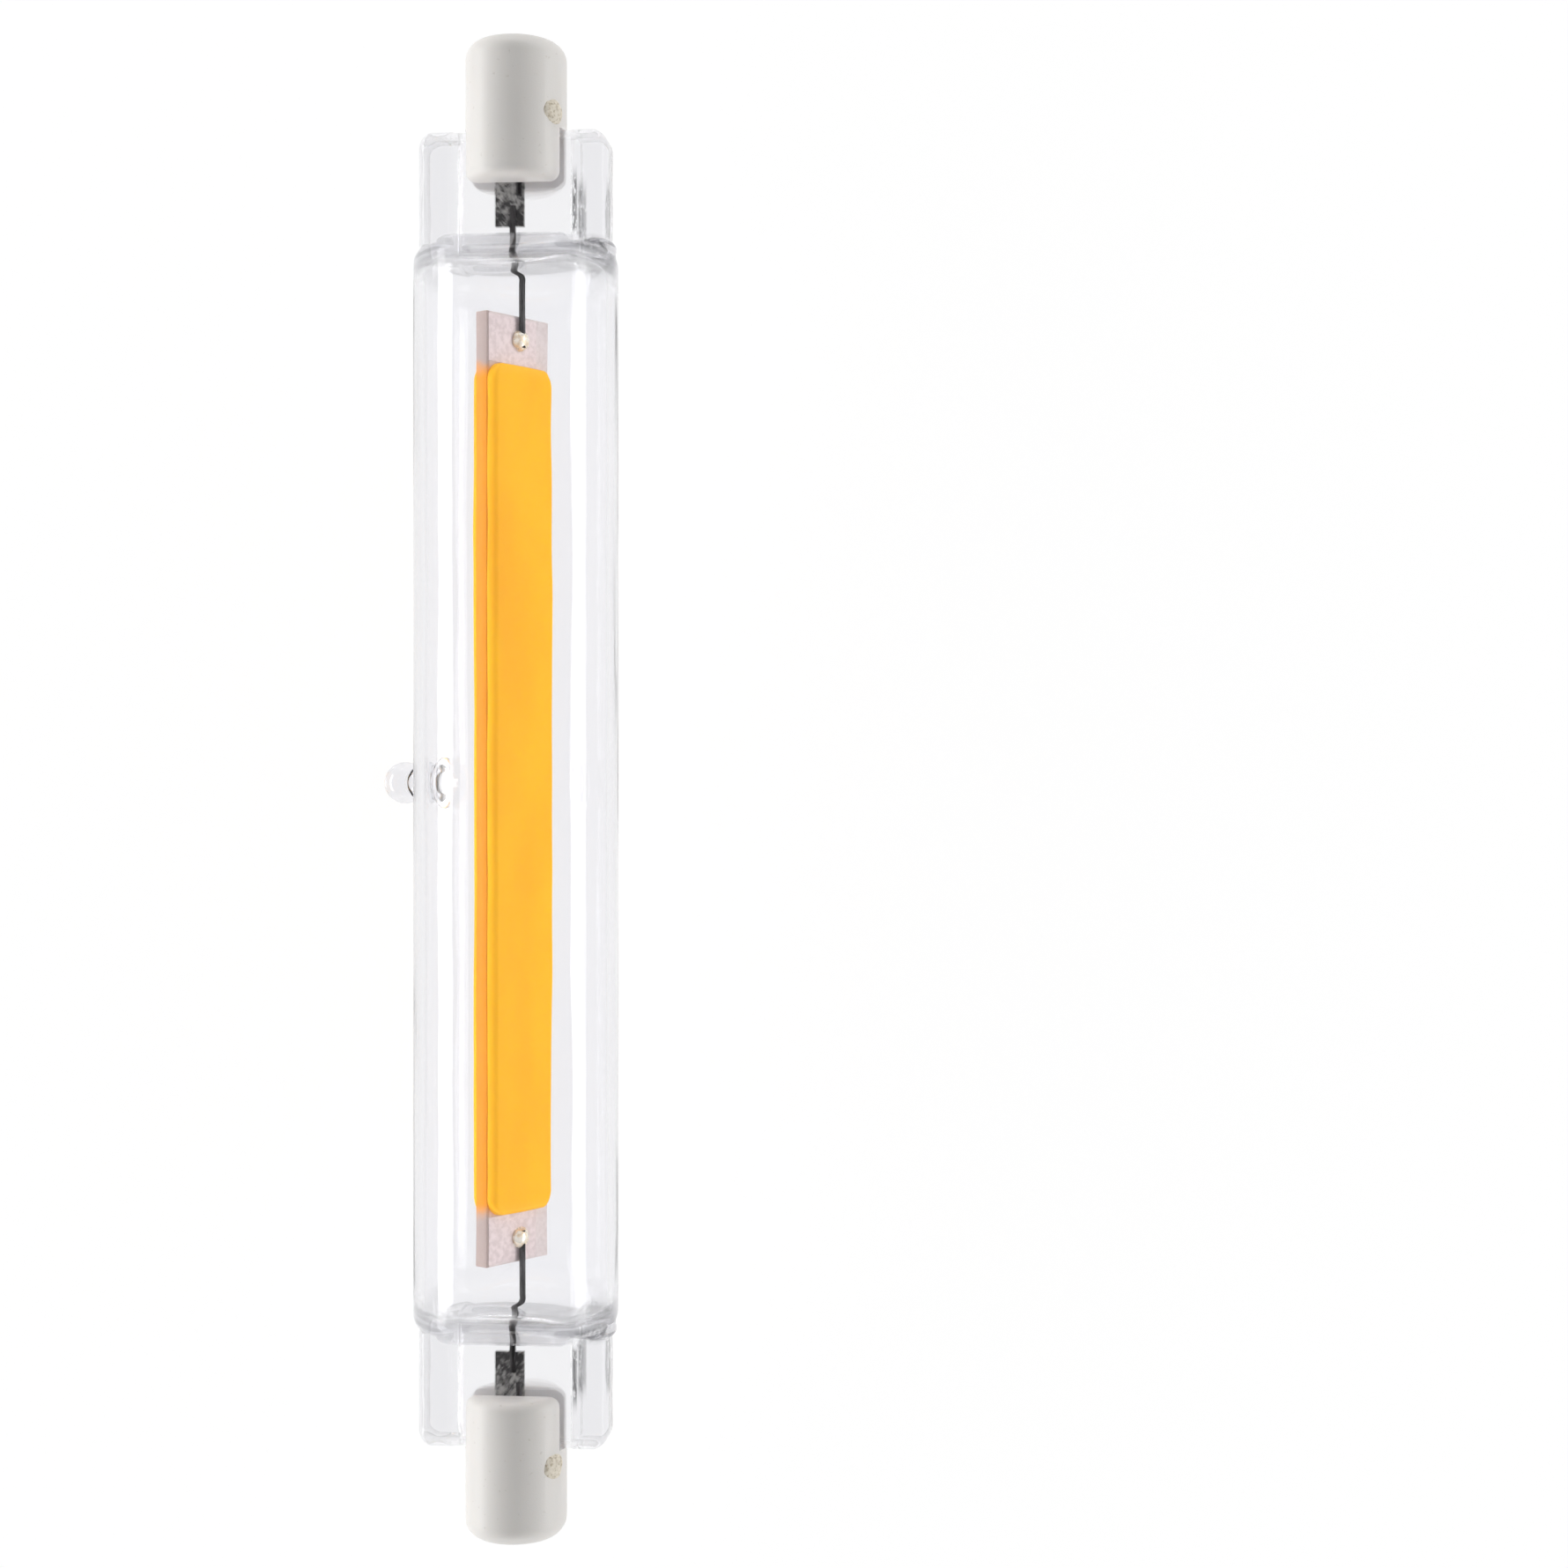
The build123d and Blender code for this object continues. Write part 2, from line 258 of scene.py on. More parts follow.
@dataclass(frozen=True)
class ClearGlass(Finish):
    """Clear drawn glass, with painted shade at the lump by each seal and a painted dark reflection
    line beside one rib of each seal.
    """

    index: float = 1.41
    roughness: float = 0.0
    shade: float = 0.1
    plain: float = 0.5
    plain_from: float = 39.2 * MM
    plain_full: float = 41.0 * MM
    density: float = 75.0
    tint: Triple = (0.50, 0.50, 0.56)
    across: Triple = (1.0, 0.0, 0.0)
    # Painted shade at the lump and a painted dark reflection line beside one rib: their colours and
    # how strongly each is painted.
    lump_shade: Triple = (0.04, 0.04, 0.045)
    dark_reflection: Triple = (0.006, 0.006, 0.007)
    lump_shade_share: float = 0.9
    dark_reflection_share: float = 0.95
    lump_across: float = 6.6 * MM
    lump_along: float = 42.4 * MM
    lump_half_width: float = 2.1 * MM
    lump_half_length: float = 1.3 * MM
    # Where the painted dark reflection line lies beside one rib, and how it wavers and fades.
    reflection_line_across: float = 5.0 * MM
    reflection_line_start: float = 43.4 * MM
    reflection_line_end: float = 49.2 * MM
    reflection_line_wobble: float = 0.1 * MM
    reflection_line_core: float = 0.20 * MM
    reflection_line_edge: float = 0.38 * MM
    reflection_line_rise: float = 0.6 * MM
    reflection_line_fall: float = 2.0 * MM

    def fill(self, tree: Tree) -> dict[str, Socket]:
        """Faint grey that deepens with the glass's thickness."""
        values = {"Color": _rgba(self.tint), "Density": self.density}
        return {"Volume": tree.node("ShaderNodeVolumeAbsorption", values=values)}

    def dress(self, tree: Tree) -> Socket:
        """Refracting glass with faint draw lines, painted shade and a painted dark reflection line
        by the seals, plain to shadow rays.
        """
        waves = tree.grain(900, detail=2.0, stretch=14.0)
        along = tree.along()
        across = tree.reach(self.across)
        grit = tree.grain(1700, detail=4.0, rough=0.7)
        # Painted shade at the lump and a painted dark reflection line beside one rib: dark colour
        # that stands in for what the curved glass refracts and reflects there.
        lump = self._lump(along, across, grit)
        near = self._near_reflection_line(along, across, grit)
        with_reflection_line = tree.blend(near * self.dark_reflection_share, self.colour, self.dark_reflection)
        painted_base = tree.blend(lump * self.lump_shade_share, with_reflection_line, self.lump_shade)
        glass = tree.node(
            "ShaderNodeBsdfPrincipled",
            values={
                "Base Color": painted_base,
                "Roughness": self.roughness,
                "IOR": self.index,
                "Transmission Weight": 1.0,
                "Normal": tree.bump(waves, 0.00002, 0.35),
            },
        )
        shaded = _rgba((1 - self.shade,) * 3)
        clear = tree.node("ShaderNodeBsdfTransparent", values={"Color": shaded})
        thin = tree.node("ShaderNodeBsdfTransparent", values={"Color": (1, 1, 1, 1)})
        unpainted = (1 - lump) * (1 - near)
        pressed = along.step(self.plain_from, self.plain_full) * unpainted * self.plain
        softer = tree.node("ShaderNodeMixShader", values={0: pressed, 1: glass, 2: thin})
        shadow = tree.node("ShaderNodeLightPath", output="Is Shadow Ray")
        return tree.node("ShaderNodeMixShader", values={0: shadow, 1: softer, 2: clear})

    def _lump(self, along: Socket, across: Socket, grit: Socket) -> Socket:
        """How much painted shade at the squeezed-out lump there is, from 0 to 1: colour that stands
        for the dark which the lump's curve refracts.
        """
        wide = (across - self.lump_across) / self.lump_half_width
        high = (along - self.lump_along) / self.lump_half_length
        far = (wide**2.0 + high**2.0) ** 0.5
        return (1 - (far + grit * 0.5).step(0.55, 1.15)) * (grit * 1.3).step(0.30, 0.75)

    def _near_reflection_line(self, along: Socket, across: Socket, grit: Socket) -> Socket:
        """How much of the painted dark reflection line beside one rib there is, from 0 to 1."""
        off = abs(across - self.reflection_line_across) + grit * self.reflection_line_wobble
        near = 1 - off.step(self.reflection_line_core, self.reflection_line_edge)
        rise = along.step(self.reflection_line_start, self.reflection_line_start + self.reflection_line_rise)
        near *= rise * (1 - along.step(self.reflection_line_end - self.reflection_line_fall, self.reflection_line_end))
        broken = grit.tree.grain(1500, detail=3.0, stretch=2.0, rough=0.7) * 1.2
        return near * broken.step(0.38, 0.58)


@dataclass(frozen=True)
class GlazedCeramic(Finish):
    """White fired ceramic with a fine tooth, a few specks and a cloudy tone."""

    speck: Triple = (0.62, 0.58, 0.52)
    clouded: float = 0.93
    roughness: float = 0.42

    def dress(self, tree: Tree) -> Socket:
        """Ceramic with cloudy tone, specks and a fine tooth."""
        cloud = tree.grain(220, detail=3.0)
        tooth = tree.grain(9000, detail=3.0, rough=0.7)
        dots = tree.grain(2600, detail=1.0).step(0.70, 0.78)
        dim = [self.clouded * level for level in self.colour]
        tone = tree.blend(cloud.step(0.3, 0.8) * 0.35, self.colour, dim)
        tone = tree.blend(dots * 0.35, tone, self.speck)
        return tree.node(
            "ShaderNodeBsdfPrincipled",
            values={
                "Base Color": tone,
                "Roughness": tooth * 0.16 + (self.roughness - 0.08),
                "IOR": 1.5,
                "Subsurface Weight": 0.12,
                "Subsurface Radius": (0.0012, 0.0010, 0.0008),
                "Normal": tree.bump(tooth + cloud * 2.0, 0.00002, 0.5),
            },
        )


@dataclass(frozen=True)
class PhosphorGel(Finish):
    """Yellow-orange silicone gel full of phosphor, deeper in cloudy patches and thinner at its rim.
    """

    deep: Triple = srgb(242, 162, 0)
    rim: Triple = srgb(255, 196, 70)
    half_length: float = 33.4 * MM
    rim_length: float = 1.2 * MM
    roughness: float = 0.38
    # Strength of a painted glow: the gel gives off light of its own though the lamp is off, which
    # lifts its shaded sides.
    glow: float = 0.18

    def dress(self, tree: Tree) -> Socket:
        """Gel with cloudy phosphor, a paler rim, a soft skin and a faint painted glow."""
        cloud = tree.grain(260, detail=3.0, stretch=3.0)
        powder = tree.grain(5200, detail=3.0, rough=0.65)
        at_end = tree.along().step(self.half_length - self.rim_length, self.half_length)
        tone = tree.blend(cloud.step(0.35, 0.75) * 0.55, self.colour, self.deep)
        tone = tree.blend(powder.step(0.45, 0.75) * 0.18, tone, self.deep)
        tone = tree.blend(at_end * 0.4, tone, self.rim)
        return tree.node(
            "ShaderNodeBsdfPrincipled",
            values={
                "Base Color": tone,
                "Roughness": powder * 0.2 + (self.roughness - 0.1),
                # Painted glow: a faint light in the gel's deep colour, though the lamp is off.
                "Emission Color": _rgba(self.deep),
                "Emission Strength": self.glow,
                "IOR": 1.41,
                "Specular IOR Level": 0.1,
                "Subsurface Weight": 0.2,
                "Subsurface Radius": (0.0012, 0.0006, 0.0001),
                "Normal": tree.bump(powder + cloud * 3.0, 0.00003, 0.45),
            },
        )


@dataclass(frozen=True)
class SubstrateCeramic(Finish):
    """Pale translucent ceramic, stained by the phosphor between the beads' ends."""

    stain: Triple = srgb(240, 152, 0)
    # Strength of a painted glow in the stained middle: light that the ceramic gives off though it is
    # no lamp.
    glow: float = 0.02
    edge: Triple = srgb(172, 152, 144)
    half_length: float = 33.2 * MM
    across: Triple = (0.0, 0.0, 0.0)
    side_from: float = 3.3 * MM
    side_fade: float = 0.02 * MM
    wobble: float = 1.2 * MM
    fade_in: float = 0.4 * MM
    fade_out: float = 1.0 * MM

    def dress(self, tree: Tree) -> Socket:
        """Ceramic with a stained middle that has a faint painted glow, and a darker side face."""
        grain = tree.grain(3000, detail=3.0)
        reach = tree.reach(self.across)
        side = reach.step(self.side_from - self.side_fade, self.side_from + self.side_fade)
        along = tree.along() + tree.grain(500, detail=2.0) * self.wobble
        inside = 1 - along.step(self.half_length - self.fade_in, self.half_length + self.fade_out)
        tone = tree.blend(grain.step(0.3, 0.8) * 0.25, self.colour, self.edge)
        tone = tree.blend(side * 0.8, tone, self.edge)
        tone = tree.blend(inside, tone, self.stain)
        return tree.node(
            "ShaderNodeBsdfPrincipled",
            values={
                "Base Color": tone,
                "Roughness": grain * 0.2 + 0.35,
                # Painted glow: the stained middle gives off a faint light in the stain's colour.
                "Emission Color": tree.blend(inside, (0.0, 0.0, 0.0), self.stain),
                "Emission Strength": self.glow,
                "IOR": 1.6,
                "Specular IOR Level": 0.08,
                "Subsurface Weight": 0.25,
                "Subsurface Radius": (0.0010, 0.0009, 0.0008),
                "Normal": tree.bump(grain, 0.00001, 0.4),
            },
        )


@dataclass(frozen=True)
class WorkedMetal(Finish):
    """Metal with drawn lines or a mottled skin."""

    dull: Triple = (0.3, 0.3, 0.3)
    roughness: float = 0.35
    metallic: float = 1.0
    scale: float = 2500
    stretch: float = 1.0
    depth: float = 0.00001

    def dress(self, tree: Tree) -> Socket:
        """Metal whose colour, shine and height follow one pattern."""
        pattern = tree.grain(self.scale, detail=3.0, stretch=self.stretch, rough=0.6)
        patch = pattern.step(0.38, 0.62)
        return tree.node(
            "ShaderNodeBsdfPrincipled",
            values={
                "Base Color": tree.blend(patch, self.colour, self.dull),
                "Metallic": self.metallic,
                "Roughness": patch * 0.2 + self.roughness,
                "Normal": tree.bump(pattern, self.depth, 0.6),
            },
        )


@dataclass(frozen=True)
class MottledFoil(WorkedMetal):
    """Molybdenum foil: dark near the lamp's middle, with pale patches outwards that are painted
    highlights.
    """

    start: float = 44.5 * MM
    length: float = 5.6 * MM

    def dress(self, tree: Tree) -> Socket:
        """Foil whose pale patches, painted highlights, grow towards the cap."""
        outward = (tree.along() - self.start) / self.length
        pattern = tree.grain(1900, detail=4.0, rough=0.75)
        fine = tree.grain(7000, detail=2.0)
        # Painted highlights: the pale patches stand for the foil's mottled reflections, and grow
        # outwards.
        patch = (pattern * 1.2 + outward * 0.4 + fine * 0.25).step(0.76, 1.02)
        return tree.node(
            "ShaderNodeBsdfPrincipled",
            values={
                "Base Color": tree.blend(patch, self.dull, self.colour),
                "Metallic": self.metallic,
                "Roughness": fine * 0.3 + self.roughness,
                "Normal": tree.bump(pattern * 2.0 + fine, self.depth, 0.8),
            },
        )


@dataclass(frozen=True)
class GrittyPaste(Finish):
    """Cream cement or solder flux: rough, with darker pits."""

    pit: Triple = srgb(190, 176, 150)
    roughness: float = 0.7
    metallic: float = 0.0
    depth: float = 0.00006

    def dress(self, tree: Tree) -> Socket:
        """Paste with pits and grit."""
        grit = tree.grain(4200, detail=4.0, rough=0.65)
        return tree.node(
            "ShaderNodeBsdfPrincipled",
            values={
                "Base Color": tree.blend(grit.step(0.45, 0.7), self.colour, self.pit),
                "Metallic": self.metallic,
                "Roughness": grit * 0.2 + (self.roughness - 0.1),
                "Normal": tree.bump(grit, self.depth, 0.8),
            },
        )


# Mesh helpers


def to_object(bm: bmesh.types.BMesh, name: str, sharp: float = 40.0) -> bpy.types.Object:
    """Turn a bmesh, measured in millimetres, into an object in metres.

    Args:
        bm: the finished mesh, which is freed.
        name: the object's name.
        sharp: the angle in degrees past which an edge stays sharp.

    Returns:
        The new object.
    """
    bmesh.ops.scale(bm, vec=(MM, MM, MM), verts=bm.verts)
    mesh = bpy.data.meshes.new(name)
    bm.to_mesh(mesh)
    bm.free()
    smooth(mesh, sharp)
    piece = bpy.data.objects.new(name, mesh)
    bpy.context.scene.collection.objects.link(piece)
    return piece


def smooth(mesh: bpy.types.Mesh, sharp: float) -> None:
    """Shade a mesh smooth, but for edges past an angle in degrees."""
    for polygon in mesh.polygons:
        polygon.use_smooth = True
    mesh.set_sharp_from_angle(angle=radians(sharp))


def place_at(bm: bmesh.types.BMesh, place: Matrix) -> None:
    """Move a mesh to its place and point its faces outwards."""
    bmesh.ops.transform(bm, matrix=place, verts=bm.verts)
    bmesh.ops.recalc_face_normals(bm, faces=bm.faces)


def eased(share: float) -> float:
    """A share from 0 to 1 that starts and ends gently."""
    return share * share * (3 - 2 * share)


def degrees_of(opposite: float, adjacent: float) -> float:
    """The angle, in degrees, whose tangent is the one over the other."""
    return degrees(atan2(opposite, adjacent))


def close_up(bm: bmesh.types.BMesh, distance: float = 0.0001) -> None:
    """Merge vertices nearer than so many millimetres and point the faces outwards."""
    bmesh.ops.remove_doubles(bm, verts=bm.verts, dist=distance)
    bmesh.ops.recalc_face_normals(bm, faces=bm.faces)


def turned(
    points: Sequence[tuple[float, float]], segments: int, place: Matrix
) -> bmesh.types.BMesh:
    """Spin a profile into a closed mesh.

    Args:
        points: radius and height of each point, from axis to axis.
        segments: steps round.
        place: where the piece's own axis, Z, comes to lie.

    Returns:
        The mesh.
    """
    bm = bmesh.new()
    verts = [bm.verts.new((radius, 0.0, height)) for radius, height in points]
    edges = [bm.edges.new(pair) for pair in zip(verts, verts[1:])]
    whole, middle, up = verts + edges, (0, 0, 0), (0, 0, 1)
    bmesh.ops.spin(
        bm, geom=whole, cent=middle, axis=up, angle=2 * pi, steps=segments, use_merge=True
    )
    close_up(bm)
    bmesh.ops.transform(bm, matrix=place, verts=bm.verts)
    return bm


def arc(
    centre: tuple[float, float], radius: float, start: float, end: float, steps: int
) -> list[tuple[float, float]]:
    """Points of an arc in straight steps, from one angle in degrees to the other."""
    turns = [radians(start + (end - start) * i / steps) for i in range(steps + 1)]
    return [(centre[0] + radius * cos(turn), centre[1] + radius * sin(turn)) for turn in turns]


def axes_to(across: Vector, front: Vector, along: Vector, origin: Vector) -> Matrix:
    """A matrix whose X, Y and Z become the three directions at the origin."""
    columns = Matrix((across, front, along)).transposed().to_4x4()
    columns.translation = origin
    return columns


def combine(target: bpy.types.Object, tool: bpy.types.Object, operation: str) -> None:
    """Join or cut one piece with another, and keep the result.

    Args:
        target: the piece that changes.
        tool: the other, which is removed.
        operation: UNION or DIFFERENCE.
    """
    change = target.modifiers.new("combine", "BOOLEAN")
    change.operation = operation
    change.solver = "EXACT"
    change.object = tool
    settle(target)
    bpy.data.objects.remove(tool)


def settle(piece: bpy.types.Object) -> None:
    """Make a piece's modifiers part of its mesh."""
    graph = bpy.context.evaluated_depsgraph_get()
    mesh = bpy.data.meshes.new_from_object(piece.evaluated_get(graph))
    piece.modifiers.clear()
    piece.data = mesh


def seat(piece: bpy.types.Object, finish: Finish, *nodes: str) -> None:
    """Give a piece its material, its body and the nodes that it stands for.

    Args:
        piece: the new piece.
        finish: its finish.
        nodes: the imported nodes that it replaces.
    """
    piece.data.materials.clear()
    piece.data.materials.append(finish.material)
    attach(piece, "root")
    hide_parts(*nodes)
    log.info("%s: %d faces", piece.name, len(piece.data.polygons))


# The lamp's directions


@dataclass(frozen=True)
class Layout:
    """Directions and places shared by the sub-assemblies, in millimetres."""

    seal_turn: float = 5.0
    board_turn: float = 51.5
    board_shift: float = -0.3
    board_thickness: float = 1.2
    hole_turn: float = 54.5
    tube_end: float = 43.0
    cap_end: float = 59.0
    end_wall: float = 1.3
    solder_place: float = 35.4
    landing: float = -0.12
    contact_root: float = 54.7

    @property
    def along(self) -> Vector:
        """The lamp's axis."""
        return Vector((0, 1, 0))

    @property
    def seal_across(self) -> Vector:
        """Across the seals, towards the lump."""
        return Vector((cos(radians(self.seal_turn)), 0, sin(radians(self.seal_turn))))

    @property
    def seal_front(self) -> Vector:
        """Out of the seals' upper face."""
        return Vector((-sin(radians(self.seal_turn)), 0, cos(radians(self.seal_turn))))

    @property
    def board_across(self) -> Vector:
        """Across the substrate, towards its upper edge."""
        return Vector((-cos(radians(self.board_turn)), 0, sin(radians(self.board_turn))))

    @property
    def board_front(self) -> Vector:
        """Out of the substrate's front face."""
        return Vector((sin(radians(self.board_turn)), 0, cos(radians(self.board_turn))))

    @property
    def hole_out(self) -> Vector:
        """Out of the caps' filling holes."""
        return Vector((sin(radians(self.hole_turn)), 0, cos(radians(self.hole_turn))))

    def seal_point(self, across: float, front: float, along: float) -> Vector:
        """A point from the middle of a seal's section."""
        return self.seal_across * across + self.seal_front * front + self.along * along

    def board_point(self, across: float, front: float, along: float) -> Vector:
        """A point from the substrate's front face."""
        height = self.board_thickness / 2 + front
        centre = Vector((self.board_shift, 0, 0)) + self.board_front * height
        return centre + self.board_across * across + self.along * along

    def board_axes(self, side: int) -> Matrix:
        """Axes on the substrate's front (1) or rear (-1) face: X across, Y along, Z outwards."""
        height = side * self.board_thickness / 2
        origin = Vector((self.board_shift, 0, 0)) + self.board_front * height
        return axes_to(self.board_across, self.along, self.board_front * side, origin)


# Sub-assemblies


@dataclass
class GlassEnvelope:
    """The drawn tube with its pressed seals, the lump beside each and the melted-off tip."""

    layout: Layout
    finish: ClearGlass
    segments: int = 176
    radius: float = 8.08
    wall: float = 0.9
    shoulder: float = 1.8
    end_crown: float = 0.5
    press_slope: float = 4.2
    press_spare: float = 0.3
    seal_length: float = 8.7
    seal_half_width: float = 7.55
    web_half: float = 1.35
    rib_width: float = 2.7
    rib_half: float = 2.25
    rib_round: float = 1.1
    web_fillet: float = 0.35
    corner: float = 1.2
    end_round: float = 0.7
    lump_across: float = 6.5
    lump_radius: float = 1.75
    lump_height: float = 1.7
    tip_offset: float = 0.5
    tip_reach: float = 13.39
    ball_radius: float = 1.7
    neck_radius: float = 1.4
    root_radius: float = 2.7
    neck_height: float = 1.5
    root_height: float = 7.62
    rest_height: float = 8.1
    bore_radius: float = 0.9
    bore_end: float = 10.1
    sharp: float = 55
    long_steps: int = 38
    bend_steps: int = 14
    ripple_depth: float = 0.02
    streak_depth: float = 0.09
    wave_depth: float = 0.03

    def build(self) -> None:
        """Build the envelope."""
        outer = self._outer()
        self._add_cavity(outer)
        piece = to_object(outer, "glass_body", self.sharp)
        place = self._tip_axes()
        combine(piece, to_object(turned(self._tip_profile(), 72, place), "tip"), "UNION")
        combine(piece, to_object(turned(self._bore_profile(), 48, place), "bore"), "DIFFERENCE")
        smooth(piece.data, self.sharp)
        seat(piece, self.finish, "glass_envelope")

    def _section(self) -> list[tuple[float, float]]:
        """One quarter of the seal's section, from the side of a rib to the middle of the web."""
        inner = self.seal_half_width - self.rib_width
        side = self.seal_half_width - self.rib_round
        top = self.rib_half - self.rib_round
        quarter = [(self.seal_half_width, 0.0)]
        quarter += arc((side, top), self.rib_round, 0, 90, 8)
        turn = self.rib_round * 0.6
        quarter += arc((inner + turn, self.rib_half - turn), turn, 90, 180, 6)
        foot = (inner - self.web_fillet, self.web_half + self.web_fillet)
        quarter += arc(foot, self.web_fillet, 0, -90, 4)
        quarter += [(0.0, self.web_half)]
        return quarter

    def _walk(self, share: float) -> tuple[float, float]:
        """The point at a share, from 0 to 1, of the way along the quarter section."""
        quarter = self._section()
        pairs = list(zip(quarter, quarter[1:]))
        steps = [sqrt((b[0] - a[0]) ** 2 + (b[1] - a[1]) ** 2) for a, b in pairs]
        left = share * sum(steps)
        for (a, b), step in zip(pairs, steps):
            if left <= step or b is quarter[-1]:
                part = min(left / step, 1.0) if step else 0.0
                return a[0] + (b[0] - a[0]) * part, a[1] + (b[1] - a[1]) * part
            left -= step
        return quarter[-1]

    def _seal_ring(self, index: int) -> Vector:
        """The seal section's point for one step round the tube."""
        turn = 4 * index / self.segments
        quarter, share = int(turn) % 4, turn % 1
        mirrored = 1 - share if quarter % 2 else share
        across, front = self._walk(mirrored)
        across = across if quarter in (0, 3) else -across
        return Vector((across, front if quarter in (0, 1) else -front, 0))

    def _stations(self) -> list[Triple]:
        """Rings from mid-length outwards: height, circle radius, share of the seal's section."""
        end = self.layout.tube_end
        straight = end - self.shoulder
        press = end + self.end_crown - self.press_slope - 0.3
        steps, bend = self.long_steps, self.bend_steps
        rings = [(press * i / steps, self.radius, 0.0) for i in range(steps)]
        rings += [(press + (straight - press) * i / bend, self.radius, 0.0) for i in range(bend)]
        centre = (self.radius - self.shoulder, straight)
        rings += [(height, radius, 0.0) for radius, height in arc(centre, self.shoulder, 0, 78, 10)]
        last_height, last_radius = rings[-1][0], rings[-1][1]
        for i in range(1, 13):
            share = i / 12
            lift = last_height + (end + self.end_crown - last_height) * sin(share * pi / 2)
            rings.append((lift + 0.3 * max(0.0, share - 0.6), last_radius, eased(share)))
        root = rings[-1][0]
        tip = end + self.seal_length
        heights = [root + (tip - self.corner - root) * i / 16 for i in range(1, 17)]
        heights += [tip - self.corner * (1 - sin(i * pi / 24)) for i in range(1, 13)]
        return rings + [(height, last_radius, 1.0) for height in heights]

    def _pressed(
        self, front: float, height: float, ends: tuple[float, float], end: float, slope: float
    ) -> float:
        """How far off the seals' middle plane the press leaves a point.

        Args:
            front: how far off it was.
            height: how far it is along the tube.
            ends: how far off the slope ends, and how far off it starts.
            end: where along the tube the slope ends.
            slope: how long it is.

        Returns:
            The new distance, rounded in where the slope begins.
        """
        share = (height - end + slope) / slope
        if share <= 0 or front == 0:
            return front
        foot, top = ends
        limit = foot + (top + self.press_spare - foot) * sqrt(max(0.0, 1 - share**2))
        limit += 2.0 * max(0.0, 1 - share * 4) ** 2
        return front / (1 + (abs(front) / max(limit, 0.01)) ** 20) ** 0.05

    def _ring_point(self, index: int, station: Triple) -> Vector:
        """The place of one vertex of one ring."""
        height, radius, share = station
        turn = 2 * pi * index / self.segments
        slope_end = self.layout.tube_end + self.end_crown + 0.02
        ends = (self.web_half, self.radius)
        front = self._pressed(radius * sin(turn), height, ends, slope_end, self.press_slope)
        circle = Vector((radius * cos(turn), front, 0))
        section = self._seal_ring(index)
        tip = self.layout.tube_end + self.seal_length
        to_corner = max(0.0, height - (tip - self.corner)) / self.corner
        half = self.seal_half_width - self.corner * (1 - sqrt(max(0.0, 1 - to_corner**2)))
        hold = self.seal_half_width - self.rib_width - 0.2
        if abs(section.x) > hold:
            narrower = (half - hold) / (self.seal_half_width - hold)
            squeezed = hold + (abs(section.x) - hold) * narrower
            section.x = squeezed if section.x > 0 else -squeezed
        to_end = max(0.0, height - (tip - self.end_round)) / self.end_round
        limit = self.rib_half - self.end_round * (1 - sqrt(max(0.0, 1 - to_end**2)))
        section.y = max(-limit, min(limit, section.y))
        # The ribs stand out of the shoulder before the web does
        if abs(section.x) > hold:
            early = min(1.0, max(0.0, (height - self.layout.tube_end + 0.9) / 0.8))
            share = max(share, eased(early))
        place = circle.lerp(section, share)
        ripple = noise.noise(Vector((place.x * 0.35, place.y * 0.35, height * 0.11)))
        streak = noise.noise(Vector((place.x * 1.3, place.y * 1.3, height * 0.3)))
        streak *= share * max(0.0, min(1.0, (tip - 1.5 - height) / 2.0))
        worn = self.ripple_depth * abs(ripple) + self.streak_depth * abs(streak)
        place -= place.normalized() * worn
        return self.layout.seal_point(place.x, place.y, height)

    def _outer(self) -> bmesh.types.BMesh:
        """The outside as rings drawn outwards from mid-length, mirrored to the other end."""
        bm = bmesh.new()
        index = bm.verts.layers.int.new("turn")
        ring = bmesh.ops.create_circle(bm, segments=self.segments, radius=1.0)["verts"]
        for i, vert in enumerate(ring):
            vert[index] = i
        stations = self._stations()
        edges = list(bm.edges)
        for vert in ring:
            vert.co = self._ring_point(vert[index], stations[0])
        for station in stations[1:]:
            grown = bmesh.ops.extrude_edge_only(bm, edges=edges)["geom"]
            edges = [item for item in grown if isinstance(item, bmesh.types.BMEdge)]
            verts = [item for item in grown if isinstance(item, bmesh.types.BMVert)]
            new = set(verts)
            edges = [edge for edge in edges if all(vert in new for vert in edge.verts)]
            for vert in verts:
                vert.co = self._ring_point(vert[index], station)
        bmesh.ops.contextual_create(bm, geom=edges)
        self._press_lump(bm)
        whole = bm.verts[:] + bm.edges[:] + bm.faces[:]
        bmesh.ops.mirror(bm, geom=whole, axis="Y", merge_dist=0.001)
        close_up(bm)
        return bm

    def _press_lump(self, bm: bmesh.types.BMesh) -> None:
        """Swell the shoulder at one rib into the lump that the press squeezed out."""
        height = self.layout.tube_end - self.lump_height / 3
        centre = self.layout.seal_point(self.lump_across, 0.7, height)
        for vert in bm.verts:
            away = vert.co - centre
            across = away.dot(self.layout.seal_across) / (self.lump_radius - 0.05)
            front = away.dot(self.layout.seal_front) / (self.lump_radius + 0.3)
            up = away.y / (self.lump_height / 2)
            size = sqrt(across**2 + front**2 + up**2)
            if 1e-6 < size < 1:
                vert.co = centre + away / size
        reach = self.lump_radius * 1.25
        near = [vert for vert in bm.verts if (vert.co - centre).length < reach]
        for _ in range(3):
            bmesh.ops.smooth_vert(
                bm, verts=near, factor=0.5, use_axis_x=True, use_axis_y=True, use_axis_z=True
            )

